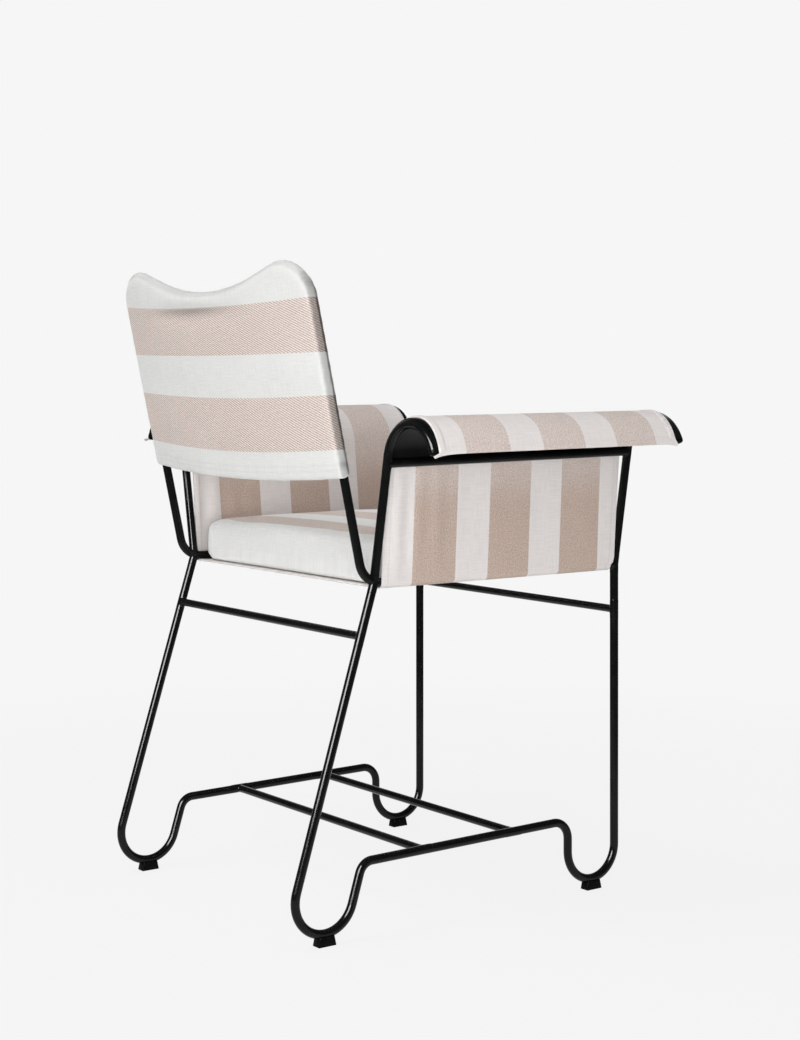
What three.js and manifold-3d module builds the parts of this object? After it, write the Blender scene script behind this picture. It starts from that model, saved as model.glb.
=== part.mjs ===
// Sling patio chair: bent steel rod frame, scrolled arms, striped slings, padded back cover and seat cushion.
// Millimetres, +Z up. The sitter faces -Y, so the right side is at -X. The origin is on the floor, at mid-length.
import * as THREE from 'three';
import * as BufferGeometryUtils from 'three/addons/utils/BufferGeometryUtils.js';
import Module from 'manifold-3d';

const wasm = await Module();
wasm.setup();

const degree = Math.PI / 180;
const quarterTurn = Math.PI / 2;
const halfTurn = Math.PI;
const sides = { right: -1, left: 1 };

// Stock and clearances
const tubeDiameter = 11;
const crossbarDiameter = 10;
const armRailDiameter = 10;
const coverBarDiameter = 8;
const jointGap = 0.3;
const clothThickness = 1.6;
const shellThickness = 1.2;

// Side frames: rear leg, foot loops, stretcher and front leg in one bend line
const frameHalfWidth = 213;
const footHalfLength = 209.1;
const rearFootRadius = 41.2;
const frontFootRadius = 40.4;
const stretcherRearHeight = 89.7;
const stretcherFrontHeight = 94.1;
const stretcherRearBend = 18.4;
const stretcherFrontBend = 23.1;
const seatHeight = 420.5;
const seatRear = 138.2;
const armBend = 60;

// Foot glides
const glideHeight = 8;
const glideLength = 25;
const glideTopLength = 20;
const glideWidth = 14;
const glideCup = 4;
const glideEdge = 0.8;

// Crossbars between the side frames, the upper ones hung from the seat's height
const rearCrossbarDrop = 62.4;
const frontCrossbarDrop = 59.6;
const lowCrossbarRear = 65.5;
const lowCrossbarFront = 76.5;

// Arms: an arch that the upright runs into as a tangent
const armCentreX = 287.6;
const armRise = 145;
const rearScrollRadius = 46.4;
const frontScrollRadius = 49.1;
const rearTip = 18 * degree;
const frontTip = 24.2 * degree;
const capLength = 3;
const capEdge = 1.2;
const armFoot = 3;
const armRailRearDrop = 1.8;
const armRailFrontDrop = -3;
const armRailSetOut = 1;
const shellOverlap = 1;

// Back frame, leaning back from the seat rails
const backSetback = 15.6;
const backLean = 12.41 * degree;
const hookBend = 30;
const hookTail = 2;
const backCornerBend = 38;
const topBarBowShare = 1.42;
const coverBarRise = 141.5;
const coverBarBow = 20;
const coverBarBend = 1500;

// Back cover
const coverHalfWidth = 224.4;
const coverPeakRise = 384.4;
const coverCornerRadius = 51;
const coverWaveLean = 16.63 * degree;
const coverWaveStraightShare = 0.244;
const coverBottomRise = 127;
const coverDip = 10;
const coverThickness = 18;
const coverBow = 13;
const coverSetback = 1.5;
const coverEdgeRadius = 9;
const coverPadding = 9;

// Slings: one over each arm to the seat's side rail, and one across the seat under both rails
const slingRearInset = 6.5;
const slingFrontInset = 7;
const slingHem = 6;
const slingCornerRise = 12;
const slingCornerDraw = 5.5;
const slingFold = 1.6;
const slingFoldCount = 3.5;

// Seat cushion, lying on the sling between the side rails
const cushionHalfWidth = 203;
const cushionRearInset = 6.6;
const cushionFrontInset = 8;
const cushionEdgeHeight = 56;
const cushionCrown = 8;
const cushionCornerRadius = 20;
const cushionEdgeRadius = 11;
const cushionWaist = 3;
const cushionBulge = 2;

// Facets
const tubeSides = 12;
const cutterSides = 24;
const bendStep = 15 * degree;
const bendRun = 36;
const mergeShare = 0.001;

const steel = { color: 0x141516, roughness: 0.28, metalness: 0.4 };
const nylon = { color: 0x1b1c1d, roughness: 0.55, metalness: 0 };
const stripedCloth = { color: 0xc9bcb0, roughness: 0.92, metalness: 0 };
const paleCloth = { color: 0xdcdad6, roughness: 0.92, metalness: 0 };

const chair = new THREE.Group();

function at(x, y, z) {
  return new THREE.Vector3(x, y, z);
}

function mix(start, end, share) {
  return start + (end - start) * share;
}

// One merged, closed mesh with its faces pointing out
function closed(geometry) {
  const bare = new THREE.BufferGeometry();
  bare.setAttribute('position', geometry.attributes.position);
  bare.setIndex(geometry.index);
  const merged = BufferGeometryUtils.mergeVertices(bare, jointGap * mergeShare);
  const position = merged.attributes.position;
  const corners = [];
  for (let i = 0; i < merged.index.count; i += 3) {
    const triangle = [0, 1, 2].map((k) => merged.index.getX(i + k));
    if (new Set(triangle).size === triangle.length) corners.push(triangle);
  }
  const place = (k) => new THREE.Vector3().fromBufferAttribute(position, k);
  const volume = corners.reduce((sum, [a, b, c]) => sum + place(a).dot(place(b).cross(place(c))), 0);
  if (volume < 0) corners.forEach((triangle) => triangle.reverse());
  merged.setIndex(corners.flat());
  return merged;
}

function toSolid(geometry) {
  const shape = closed(geometry);
  const vertProperties = new Float32Array(shape.attributes.position.array);
  const triVerts = new Uint32Array(shape.index.array);
  return new wasm.Manifold(new wasm.Mesh({ numProp: 3, vertProperties, triVerts }));
}

// The geometry with each cutter taken away
function cut(geometry, ...cutters) {
  const solid = cutters.reduce((left, cutter) => left.subtract(toSolid(cutter)), toSolid(geometry));
  const mesh = solid.getMesh();
  const result = new THREE.BufferGeometry();
  result.setAttribute('position', new THREE.BufferAttribute(mesh.vertProperties, 3));
  result.setIndex(new THREE.BufferAttribute(mesh.triVerts, 1));
  return result;
}

function add(name, geometry, finish) {
  const shape = closed(geometry);
  shape.computeVertexNormals();
  const mesh = new THREE.Mesh(shape, new THREE.MeshStandardMaterial(finish));
  mesh.name = name;
  chair.add(mesh);
}

// A rod's centre line: straight runs joined by round bends, with stations only where the rod turns
class BendLine extends THREE.Curve {
  constructor(corners) {
    super();
    this.stations = [];
    const last = corners.length - 1;
    this.addStation(corners[0].at, corners[1].at.clone().sub(corners[0].at).normalize());
    for (let i = 1; i < last; i++) this.addBend(corners[i - 1].at, corners[i], corners[i + 1].at);
    this.addStation(corners[last].at, corners[last].at.clone().sub(corners[last - 1].at).normalize());
  }

  addStation(place, tangent) {
    const previous = this.stations.at(-1);
    if (previous && previous.place.distanceTo(place) < jointGap) return;
    this.stations.push({ place, tangent });
  }

  addBend(before, corner, after) {
    const arriving = corner.at.clone().sub(before).normalize();
    const leaving = after.clone().sub(corner.at).normalize();
    const turn = arriving.angleTo(leaving);
    const axis = arriving.clone().cross(leaving).normalize();
    const reach = corner.bend * Math.tan(turn / 2);
    const start = corner.at.clone().addScaledVector(arriving, -reach);
    const inward = axis.clone().cross(arriving);
    const centre = start.clone().addScaledVector(inward, corner.bend);
    const steps = Math.ceil(Math.max(turn / bendStep, (turn * corner.bend) / bendRun));
    for (let k = 0; k <= steps; k++) {
      const angle = (turn * k) / steps;
      const place = start.clone().sub(centre).applyAxisAngle(axis, angle).add(centre);
      this.addStation(place, arriving.clone().applyAxisAngle(axis, angle));
    }
  }

  station(share) {
    return this.stations[Math.round(share * (this.stations.length - 1))];
  }

  getPointAt(share, target = new THREE.Vector3()) {
    return target.copy(this.station(share).place);
  }

  getTangentAt(share, target = new THREE.Vector3()) {
    return target.copy(this.station(share).tangent);
  }
}

function roundSection(diameter, count) {
  const points = [];
  for (let k = 0; k < count; k++) {
    const angle = (2 * halfTurn * k) / count;
    points.push(new THREE.Vector2(Math.cos(angle), Math.sin(angle)).multiplyScalar(diameter / 2));
  }
  return new THREE.Shape(points);
}

function rod(corners, diameter, count = tubeSides) {
  const line = new BendLine(corners);
  return new THREE.ExtrudeGeometry(roundSection(diameter, count), {
    steps: line.stations.length - 1,
    extrudePath: line,
  });
}

// A cutter round a rod, one joint gap larger all round
function clearOf(corners, diameter, count = cutterSides) {
  return rod(corners, diameter + 2 * jointGap, count);
}

const armCentreZ = seatHeight + armRise;

// Lean of the line from a side frame's seat corner that touches the arm's arch
function tangentLean(radius, reach = 0) {
  const across = armCentreX - frameHalfWidth;
  const up = armCentreZ - seatHeight;
  return Math.atan2(across, up) - Math.asin((radius + reach) / Math.hypot(across, up));
}

function archCorners(side, y, radius, tip) {
  const lean = tangentLean(radius);
  const top = armCentreZ + radius;
  const inner = armCentreX - radius * Math.tan((quarterTurn - lean) / 2);
  const outer = armCentreX + radius * Math.tan((quarterTurn - tip) / 2);
  const endX = armCentreX + radius * Math.cos(tip);
  const endZ = armCentreZ + radius * Math.sin(tip);
  return [
    { at: at(side * inner, y, top), bend: radius },
    { at: at(side * outer, y, top), bend: radius },
    { at: at(side * endX, y, endZ) },
  ];
}

// The rod stops short of the arch's tip by the cap
function tubeTip(tip, radius) {
  return tip + capLength / radius;
}

const frontLeg = -footHalfLength - frontFootRadius;
const backFoot = seatRear + backSetback;
const slingRear = seatRear - slingRearInset;
const slingFront = frontLeg + slingFrontInset;
const cushionMiddle = (seatRear - cushionRearInset + frontLeg + cushionFrontInset) / 2;
const cushionHalfDepth = seatRear - cushionRearInset - cushionMiddle;

function rearLegGeometry() {
  const centreZ = glideHeight + tubeDiameter / 2 + rearFootRadius;
  const back = footHalfLength - seatRear;
  const down = seatHeight - centreZ;
  const lean = Math.atan2(back, down) + Math.asin(rearFootRadius / Math.hypot(back, down));
  return { centreZ, lean };
}

function sideFrameCorners(side) {
  const x = side * frameHalfWidth;
  const { centreZ, lean } = rearLegGeometry();
  const alongY = Math.sin(lean) * rearFootRadius;
  const alongZ = -Math.cos(lean) * rearFootRadius;
  const outY = Math.cos(lean) * rearFootRadius;
  const outZ = Math.sin(lean) * rearFootRadius;
  const riseY = footHalfLength - outY - Math.tan(lean) * (stretcherRearHeight - centreZ + outZ);
  const frontInner = frontFootRadius - footHalfLength;
  const frontBase = glideHeight + tubeDiameter / 2;
  return [
    { at: at(x, seatRear, seatHeight) },
    { at: at(x, footHalfLength + outY + alongY, centreZ + outZ + alongZ), bend: rearFootRadius },
    { at: at(x, footHalfLength - outY + alongY, centreZ - outZ + alongZ), bend: rearFootRadius },
    { at: at(x, riseY, stretcherRearHeight), bend: stretcherRearBend },
    { at: at(x, frontInner, stretcherFrontHeight), bend: stretcherFrontBend },
    { at: at(x, frontInner, frontBase), bend: frontFootRadius },
    { at: at(x, frontLeg, frontBase), bend: frontFootRadius },
    { at: at(x, frontLeg, seatHeight), bend: armBend },
    ...archCorners(side, frontLeg, frontScrollRadius, tubeTip(frontTip, frontScrollRadius)),
  ];
}

function rearArmCorners(side) {
  const foot = frameHalfWidth + armFoot * Math.tan(tangentLean(rearScrollRadius));
  return [
    { at: at(side * foot, seatRear, seatHeight + armFoot) },
    ...archCorners(side, seatRear, rearScrollRadius, tubeTip(rearTip, rearScrollRadius)),
  ];
}

const coverPeak = seatHeight + coverPeakRise;
const coverBottom = seatHeight + coverBottomRise;
const coverCornerX = coverHalfWidth - coverCornerRadius;

function backPlane(z) {
  return backFoot + Math.tan(backLean) * (z - seatHeight);
}

// Height at mid-width of the cover's sloping top, were it not rounded into the valley
function waveBase() {
  const cornerZ = coverPeak - coverCornerRadius;
  return cornerZ + coverCornerRadius / Math.cos(coverWaveLean) - coverCornerX * Math.tan(coverWaveLean);
}

// The valley takes what the two corners and the straight runs beside it leave of the width
function valleyRadius() {
  return (coverCornerX * (1 - coverWaveStraightShare)) / Math.sin(coverWaveLean) - coverCornerRadius;
}

function coverValley() {
  return waveBase() + valleyRadius() * (1 / Math.cos(coverWaveLean) - 1);
}

function backFrameCorners() {
  const seamY = backFoot - hookBend * Math.tan((quarterTurn - backLean) / 2) - hookTail;
  const middle = waveBase() - coverPadding / Math.cos(coverWaveLean);
  const corner = middle + frameHalfWidth * Math.tan(coverWaveLean);
  const half = (side) => [
    { at: at(side * frameHalfWidth, seamY, seatHeight) },
    { at: at(side * frameHalfWidth, backFoot, seatHeight), bend: hookBend },
    { at: at(side * frameHalfWidth, backPlane(corner), corner), bend: backCornerBend },
  ];
  const valley = at(0, backPlane(middle) + coverBow * topBarBowShare, middle);
  const valleyBend = valleyRadius() + coverPadding;
  return [...half(sides.right), { at: valley, bend: valleyBend }, ...half(sides.left).reverse()];
}

function coverBarCorners() {
  const z = seatHeight + coverBarRise;
  const y = backPlane(z);
  return [
    { at: at(-frameHalfWidth, y, z) },
    { at: at(0, y + coverBarBow, z), bend: coverBarBend },
    { at: at(frameHalfWidth, y, z) },
  ];
}

function armRailEnd(side, y, radius, z) {
  const upright = frameHalfWidth + Math.tan(tangentLean(radius)) * (z - seatHeight);
  return at(side * (upright + armRailSetOut), y, z);
}

function armRailCorners(side) {
  return [
    { at: armRailEnd(side, seatRear, rearScrollRadius, armCentreZ - armRailRearDrop) },
    { at: armRailEnd(side, frontLeg, frontScrollRadius, armCentreZ - armRailFrontDrop) },
  ];
}

function crossCorners(y, z) {
  return [{ at: at(-frameHalfWidth, y, z) }, { at: at(frameHalfWidth, y, z) }];
}

const backFrame = clearOf(backFrameCorners(), tubeDiameter);
const sideFrames = {};
const rearArms = {};
for (const [name, side] of Object.entries(sides)) {
  sideFrames[name] = clearOf(sideFrameCorners(side), tubeDiameter);
  rearArms[name] = clearOf(rearArmCorners(side), tubeDiameter);
}

// A block whose foot is longer than its top, cupped to the foot loop that stands on it
function glide(side, y, frame) {
  const half = glideLength / 2;
  const topHalf = glideTopLength / 2;
  const top = glideHeight + glideCup;
  const outline = new THREE.Shape([
    new THREE.Vector2(-half, glideEdge),
    new THREE.Vector2(glideEdge - half, 0),
    new THREE.Vector2(half - glideEdge, 0),
    new THREE.Vector2(half, glideEdge),
    new THREE.Vector2(topHalf, top),
    new THREE.Vector2(-topHalf, top),
  ]);
  const block = new THREE.ExtrudeGeometry(outline, { depth: glideWidth, bevelEnabled: false });
  const turned = new THREE.Matrix4().makeBasis(at(0, 1, 0), at(0, 0, 1), at(1, 0, 0));
  block.applyMatrix4(turned);
  block.translate(side * frameHalfWidth - glideWidth / 2, y, 0);
  return cut(block, frame);
}

// A low domed plug on a scroll's cut end
function scrollCap(side, y, radius, tip) {
  const rim = tubeDiameter / 2;
  const thickness = capLength - jointGap;
  const profile = [
    new THREE.Vector2(0, 0),
    new THREE.Vector2(rim, 0),
    new THREE.Vector2(rim, thickness - capEdge),
    new THREE.Vector2(rim - capEdge / 2, thickness - capEdge / 2),
    new THREE.Vector2(rim - capEdge * 2, thickness),
    new THREE.Vector2(0, thickness),
  ];
  const cap = new THREE.LatheGeometry(profile, tubeSides);
  const angle = tubeTip(tip, radius);
  const outward = at(side * Math.sin(angle), 0, -Math.cos(angle));
  cap.applyQuaternion(new THREE.Quaternion().setFromUnitVectors(at(0, 1, 0), outward));
  const end = at(side * (armCentreX + radius * Math.cos(angle)), y, armCentreZ + radius * Math.sin(angle));
  end.addScaledVector(outward, jointGap);
  cap.translate(end.x, end.y, end.z);
  return cap;
}

// A closed sheet from two faces of rows by columns; a sewn sheet's faces share their border
function sheet(rows, columns, upper, lower, sewn = false) {
  const places = [];
  for (const face of [upper, lower]) {
    for (let i = 0; i <= rows; i++) {
      for (let j = 0; j <= columns; j++) places.push(...face(i, j).toArray());
    }
  }
  const width = columns + 1;
  const count = width * (rows + 1);
  const index = [];
  const quad = (a, b, c, d) => index.push(a, b, c, a, c, d);
  for (let i = 0; i < rows; i++) {
    for (let j = 0; j < columns; j++) {
      const k = i * width + j;
      quad(k, k + 1, k + width + 1, k + width);
      quad(count + k, count + k + width, count + k + width + 1, count + k + 1);
    }
  }
  if (!sewn) {
    const lastRow = rows * width;
    for (let j = 0; j < columns; j++) {
      quad(j, count + j, count + j + 1, j + 1);
      quad(lastRow + j, lastRow + j + 1, count + lastRow + j + 1, count + lastRow + j);
    }
    for (let i = 0; i < rows; i++) {
      const start = i * width;
      const end = start + columns;
      quad(start, start + width, count + start + width, count + start);
      quad(end, count + end, count + end + width, end + width);
    }
  }
  const geometry = new THREE.BufferGeometry();
  geometry.setAttribute('position', new THREE.BufferAttribute(new Float32Array(places), 3));
  geometry.setIndex(index);
  return geometry;
}

// How far towards the front a place is, as a share of the run between the two scrolls
function forwardShare(y) {
  return (seatRear - y) / (seatRear - frontLeg);
}

function scrollRadiusAt(y) {
  return mix(rearScrollRadius, frontScrollRadius, forwardShare(y));
}

function tipAt(y) {
  return mix(rearTip, frontTip, forwardShare(y));
}

// Radius to the middle of the shell's wall, and to the middle of the cloth on it
function shellRadiusAt(y) {
  return scrollRadiusAt(y) + tubeDiameter / 2 + jointGap + shellThickness / 2;
}

function clothRadiusAt(y) {
  return shellRadiusAt(y) + shellThickness / 2 + jointGap + clothThickness / 2;
}

const sleeveRadius = tubeDiameter / 2 + jointGap + clothThickness / 2;

// Points and normals of an arm sling's section: over the arch, down to the side rail and under it
function slingSection(y) {
  const radius = clothRadiusAt(y);
  const lean = tangentLean(radius, sleeveRadius);
  const hemAngle = tipAt(y) - slingHem / radius;
  const archEnd = halfTurn - lean;
  const leave = at(armCentreX + radius * Math.cos(archEnd), 0, armCentreZ + radius * Math.sin(archEnd));
  const meet = at(frameHalfWidth + sleeveRadius * Math.cos(lean), 0, seatHeight - sleeveRadius * Math.sin(lean));
  return { radius, lean, hemAngle, archEnd, leave, meet };
}

const slingArchSteps = 14;
const slingFallSteps = 8;
const slingWrapSteps = 6;
const slingColumns = 13;

function slingPoint(section, row) {
  const { radius, lean, hemAngle, archEnd, leave, meet } = section;
  if (row <= slingArchSteps) {
    const angle = mix(hemAngle, archEnd, row / slingArchSteps);
    const normal = at(Math.cos(angle), 0, Math.sin(angle));
    return { place: at(armCentreX, 0, armCentreZ).addScaledVector(normal, radius), normal, fall: 0, wrap: 0 };
  }
  const fallRow = row - slingArchSteps;
  if (fallRow <= slingFallSteps) {
    const fall = fallRow / slingFallSteps;
    return { place: leave.clone().lerp(meet, fall), normal: at(-Math.cos(lean), 0, Math.sin(lean)), fall, wrap: 0 };
  }
  const wrap = (fallRow - slingFallSteps) / slingWrapSteps;
  const angle = mix(-lean, -quarterTurn, wrap);
  const normal = at(-Math.cos(angle), 0, -Math.sin(angle));
  return { place: at(frameHalfWidth, 0, seatHeight).addScaledVector(normal, -sleeveRadius), normal, fall: 1, wrap };
}

// The front edge rounds away from the leg over the last stretch above the side rail
function slingFrontAt(row) {
  const section = slingSection(slingFront);
  const { place, wrap } = slingPoint(section, row);
  const height = wrap > 0 ? 0 : (place.z - section.meet.z) / slingCornerRise;
  const inside = 1 - Math.min(1, Math.max(0, height));
  return slingFront + slingCornerDraw * (1 - Math.sqrt(1 - inside * inside));
}

function armSling(side) {
  const rows = slingArchSteps + slingFallSteps + slingWrapSteps;
  const face = (offset) => (i, j) => {
    const share = j / slingColumns;
    const y = mix(slingRear, slingFrontAt(i), share);
    const { place, normal, fall } = slingPoint(slingSection(y), i);
    const fold = slingFold * Math.sin(fall * halfTurn) * Math.sin(share * slingFoldCount * 2 * halfTurn);
    place.addScaledVector(normal, offset + fold);
    return at(side * place.x, y, place.z);
  };
  return sheet(rows, slingColumns, face(clothThickness / 2), face(-clothThickness / 2));
}

const shellArchSteps = 14;
const shellColumns = 6;

// The curved steel shell that carries the arm cloth, with a flange down to the arm rail
function armShell(side) {
  const rear = seatRear;
  const front = frontLeg - shellOverlap;
  const [railRear, railFront] = armRailCorners(sides.left).map((corner) => corner.at);
  const face = (offset) => (i, j) => {
    const y = mix(rear, front, j / shellColumns);
    const radius = shellRadiusAt(y);
    const { archEnd } = slingSection(y);
    const angle = mix(tipAt(y), archEnd, Math.min(1, i / shellArchSteps));
    const normal = at(Math.cos(angle), 0, Math.sin(angle));
    if (i <= shellArchSteps) {
      const place = at(armCentreX, 0, armCentreZ).addScaledVector(normal, radius + offset);
      return at(side * place.x, y, place.z);
    }
    const rail = railRear.clone().lerp(railFront, forwardShare(y));
    const inner = rail.x - armRailDiameter / 2 - jointGap - shellThickness / 2;
    return at(side * (inner - offset), y, rail.z);
  };
  return sheet(shellArchSteps + 1, shellColumns, face(shellThickness / 2), face(-shellThickness / 2));
}

const seatSlingRows = 6;
const seatSlingColumns = 6;

// The seat sling: drawn flat from the end of one arm's sling to the end of the other's
function seatSling() {
  const half = frameHalfWidth - jointGap;
  const face = (offset) => (i, j) => {
    const x = mix(-half, half, j / seatSlingColumns);
    return at(x, mix(slingRear, slingFront + slingCornerDraw, i / seatSlingRows), seatHeight - sleeveRadius + offset);
  };
  return sheet(seatSlingRows, seatSlingColumns, face(clothThickness / 2), face(-clothThickness / 2));
}

const cushionCornerSteps = 6;
const cushionSideSteps = 6;
const cushionEdgeSteps = 4;
const cushionCrownSteps = 4;

// The cushion's outline, going round, with corners of one radius and sides drawn in between them
function cushionOutline(inset) {
  const radius = Math.max(cushionCornerRadius - inset, cushionEdgeRadius);
  const boxX = cushionHalfWidth - inset - radius;
  const boxY = cushionHalfDepth - inset - radius;
  const points = [];
  const quarters = [[1, 1], [-1, 1], [-1, -1], [1, -1]];
  quarters.forEach(([signX, signY], quarter) => {
    for (let k = 0; k <= cushionCornerSteps; k++) {
      const angle = quarterTurn * (quarter + k / cushionCornerSteps);
      points.push(at(signX * boxX + radius * Math.cos(angle), signY * boxY + radius * Math.sin(angle), 0));
    }
    const [nextX, nextY] = quarters[(quarter + 1) % quarters.length];
    const outward = at(signX === nextX ? signX : 0, signY === nextY ? signY : 0, 0);
    const start = points.at(-1).clone();
    const endAngle = quarterTurn * (quarter + 1);
    const end = at(nextX * boxX + radius * Math.cos(endAngle), nextY * boxY + radius * Math.sin(endAngle), 0);
    for (let k = 1; k < cushionSideSteps; k++) {
      const share = k / cushionSideSteps;
      const drawn = cushionWaist * Math.sin(share * halfTurn);
      points.push(start.clone().lerp(end, share).addScaledVector(outward, -drawn));
    }
  });
  return points.map((point) => point.add(at(0, cushionMiddle, 0)));
}

// Height of the crown over the cushion's top edge
function crownAt(x, y) {
  const halfX = cushionHalfWidth - cushionEdgeRadius;
  const halfY = cushionHalfDepth - cushionEdgeRadius;
  const arch = (share) => Math.cos(Math.min(1, Math.abs(share)) * quarterTurn);
  return cushionCrown * arch(x / halfX) * arch((y - cushionMiddle) / halfY);
}

function cushion() {
  const base = seatHeight - sleeveRadius + clothThickness / 2 + jointGap;
  const top = base + cushionEdgeHeight;
  const rings = [];
  const reach = Math.min(cushionHalfWidth, cushionHalfDepth) - cushionEdgeRadius;
  for (let k = cushionCrownSteps; k > 0; k--) {
    rings.push({ inset: cushionEdgeRadius + (reach * k) / (cushionCrownSteps + 1), z: base });
  }
  for (let k = 0; k <= cushionEdgeSteps; k++) {
    const angle = (quarterTurn * k) / cushionEdgeSteps;
    const rise = 1 - Math.cos(angle);
    rings.push({ inset: cushionEdgeRadius * (1 - Math.sin(angle)), z: base + cushionEdgeRadius * rise });
  }
  rings.push({ inset: -cushionBulge, z: (base + top) / 2 });
  for (let k = cushionEdgeSteps; k >= 0; k--) {
    const angle = (quarterTurn * k) / cushionEdgeSteps;
    const drop = 1 - Math.cos(angle);
    rings.push({ inset: cushionEdgeRadius * (1 - Math.sin(angle)), z: top - cushionEdgeRadius * drop });
  }
  for (let k = 1; k <= cushionCrownSteps; k++) {
    rings.push({ inset: cushionEdgeRadius + (reach * k) / (cushionCrownSteps + 1), z: top, crowned: true });
  }
  const places = [];
  for (const { inset, z, crowned } of rings) {
    for (const point of cushionOutline(inset)) {
      places.push(point.x, point.y, crowned ? z + crownAt(point.x, point.y) : z);
    }
  }
  const count = cushionOutline(0).length;
  const index = [];
  for (let ring = 0; ring < rings.length - 1; ring++) {
    for (let k = 0; k < count; k++) {
      const a = ring * count + k;
      const b = ring * count + ((k + 1) % count);
      index.push(a, b, b + count, a, b + count, a + count);
    }
  }
  const caps = [
    { start: 0, z: base, flip: true },
    { start: (rings.length - 1) * count, z: top + cushionCrown, flip: false },
  ];
  for (const { start, z, flip } of caps) {
    const centre = places.length / 3;
    places.push(0, cushionMiddle, z);
    for (let k = 0; k < count; k++) {
      const pair = [start + k, start + ((k + 1) % count)];
      index.push(centre, ...(flip ? pair.reverse() : pair));
    }
  }
  const geometry = new THREE.BufferGeometry();
  geometry.setAttribute('position', new THREE.BufferAttribute(new Float32Array(places), 3));
  geometry.setIndex(index);
  return geometry;
}

function coverTop(x) {
  const across = Math.abs(x);
  const cornerZ = coverPeak - coverCornerRadius;
  const radius = valleyRadius();
  if (across < radius * Math.sin(coverWaveLean)) {
    return coverValley() + radius - Math.sqrt(radius * radius - across * across);
  }
  if (across < coverCornerX - coverCornerRadius * Math.sin(coverWaveLean)) {
    return waveBase() + Math.tan(coverWaveLean) * across;
  }
  const beyond = Math.min(across - coverCornerX, coverCornerRadius);
  return cornerZ + Math.sqrt(Math.max(0, coverCornerRadius * coverCornerRadius - beyond * beyond));
}

function coverBase(x) {
  const share = x / coverHalfWidth;
  return coverBottom - coverDip * (1 - share * share);
}

// Half thickness share of a padded edge, from nothing at the seam to full one edge radius in
function edgeShare(distance) {
  const inside = Math.min(1, distance / coverEdgeRadius);
  return Math.sqrt(1 - (1 - inside) * (1 - inside));
}

const coverEdgeShares = [0, 0.1, 0.4, 1];
const coverCornerAngles = [38 * degree, 20 * degree, 3 * degree, -coverWaveLean];
const coverValleySteps = 4;
const coverRowCount = 4;

// Stations up a padded length: close at both edges, even between them
function paddedStations(length) {
  const edge = coverEdgeShares.map((share) => share * coverEdgeRadius);
  const inner = [];
  for (let k = 1; k < coverRowCount; k++) {
    inner.push(mix(coverEdgeRadius, length - coverEdgeRadius, k / coverRowCount));
  }
  return [...edge, ...inner, ...edge.map((distance) => length - distance).reverse()];
}

// Columns across the cover: close at its side edge and round its top corner
function coverColumns() {
  const edge = coverEdgeShares.map((share) => coverHalfWidth - share * coverEdgeRadius);
  const corner = coverCornerAngles.map((angle) => coverCornerX + coverCornerRadius * Math.sin(angle));
  const valleyX = valleyRadius() * Math.sin(coverWaveLean);
  const valley = [];
  for (let k = coverValleySteps; k > 0; k--) valley.push((valleyX * k) / coverValleySteps);
  const half = [...edge, ...corner, ...valley];
  return [...half.map((x) => -x), 0, ...half.reverse()];
}

// The padded back cover, cupped round the back frame and the bar in its hem
function backCover() {
  const columns = coverColumns();
  const face = (sign) => (i, j) => {
    const x = columns[j];
    const rows = paddedStations(coverTop(x) - coverBase(x));
    const z = coverBase(x) + rows[i];
    const fromSide = coverHalfWidth - Math.abs(x);
    const fromEnd = Math.min(rows[i], rows.at(-1) - rows[i]);
    const half = (coverThickness / 2) * edgeShare(fromSide) * edgeShare(fromEnd) * sign;
    const share = x / coverHalfWidth;
    const y = backPlane(z) + coverSetback + coverBow * (1 - share * share);
    return at(x, y + half * Math.cos(backLean), z - half * Math.sin(backLean));
  };
  const rowCount = paddedStations(coverPeak).length - 1;
  const pad = sheet(rowCount, columns.length - 1, face(1), face(-1), true);
  const channel = clearOf(backFrameCorners(), tubeDiameter, tubeSides);
  return cut(pad, channel, clearOf(coverBarCorners(), coverBarDiameter, tubeSides));
}

for (const [name, side] of Object.entries(sides)) {
  const x = side * frameHalfWidth;
  const sideFrame = cut(rod(sideFrameCorners(side), tubeDiameter), backFrame);
  const rearArm = cut(rod(rearArmCorners(side), tubeDiameter), backFrame);
  add(`side_frame_${name}`, sideFrame, steel);
  add(`rear_arm_${name}`, rearArm, steel);
  const seamY = backFrameCorners()[0].at.y - jointGap;
  const rail = rod([{ at: at(x, seamY, seatHeight) }, { at: at(x, frontLeg, seatHeight) }], tubeDiameter);
  add(`seat_side_rail_${name}`, cut(rail, sideFrames[name]), steel);
  const armRail = rod(armRailCorners(side), armRailDiameter);
  add(`arm_rail_${name}`, cut(armRail, rearArms[name], sideFrames[name]), steel);
  add(`arm_shell_${name}`, cut(armShell(side), rearArms[name], sideFrames[name]), steel);
  add(`foot_glide_rear_${name}`, glide(side, footHalfLength, sideFrames[name]), nylon);
  add(`foot_glide_front_${name}`, glide(side, -footHalfLength, sideFrames[name]), nylon);
  add(`scroll_cap_rear_${name}`, scrollCap(side, seatRear, rearScrollRadius, rearTip), nylon);
  add(`scroll_cap_front_${name}`, scrollCap(side, frontLeg, frontScrollRadius, frontTip), nylon);
  add(`arm_sling_${name}`, armSling(side), stripedCloth);
}

function crossbar(y, z) {
  return cut(rod(crossCorners(y, z), crossbarDiameter), sideFrames.right, sideFrames.left);
}

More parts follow.
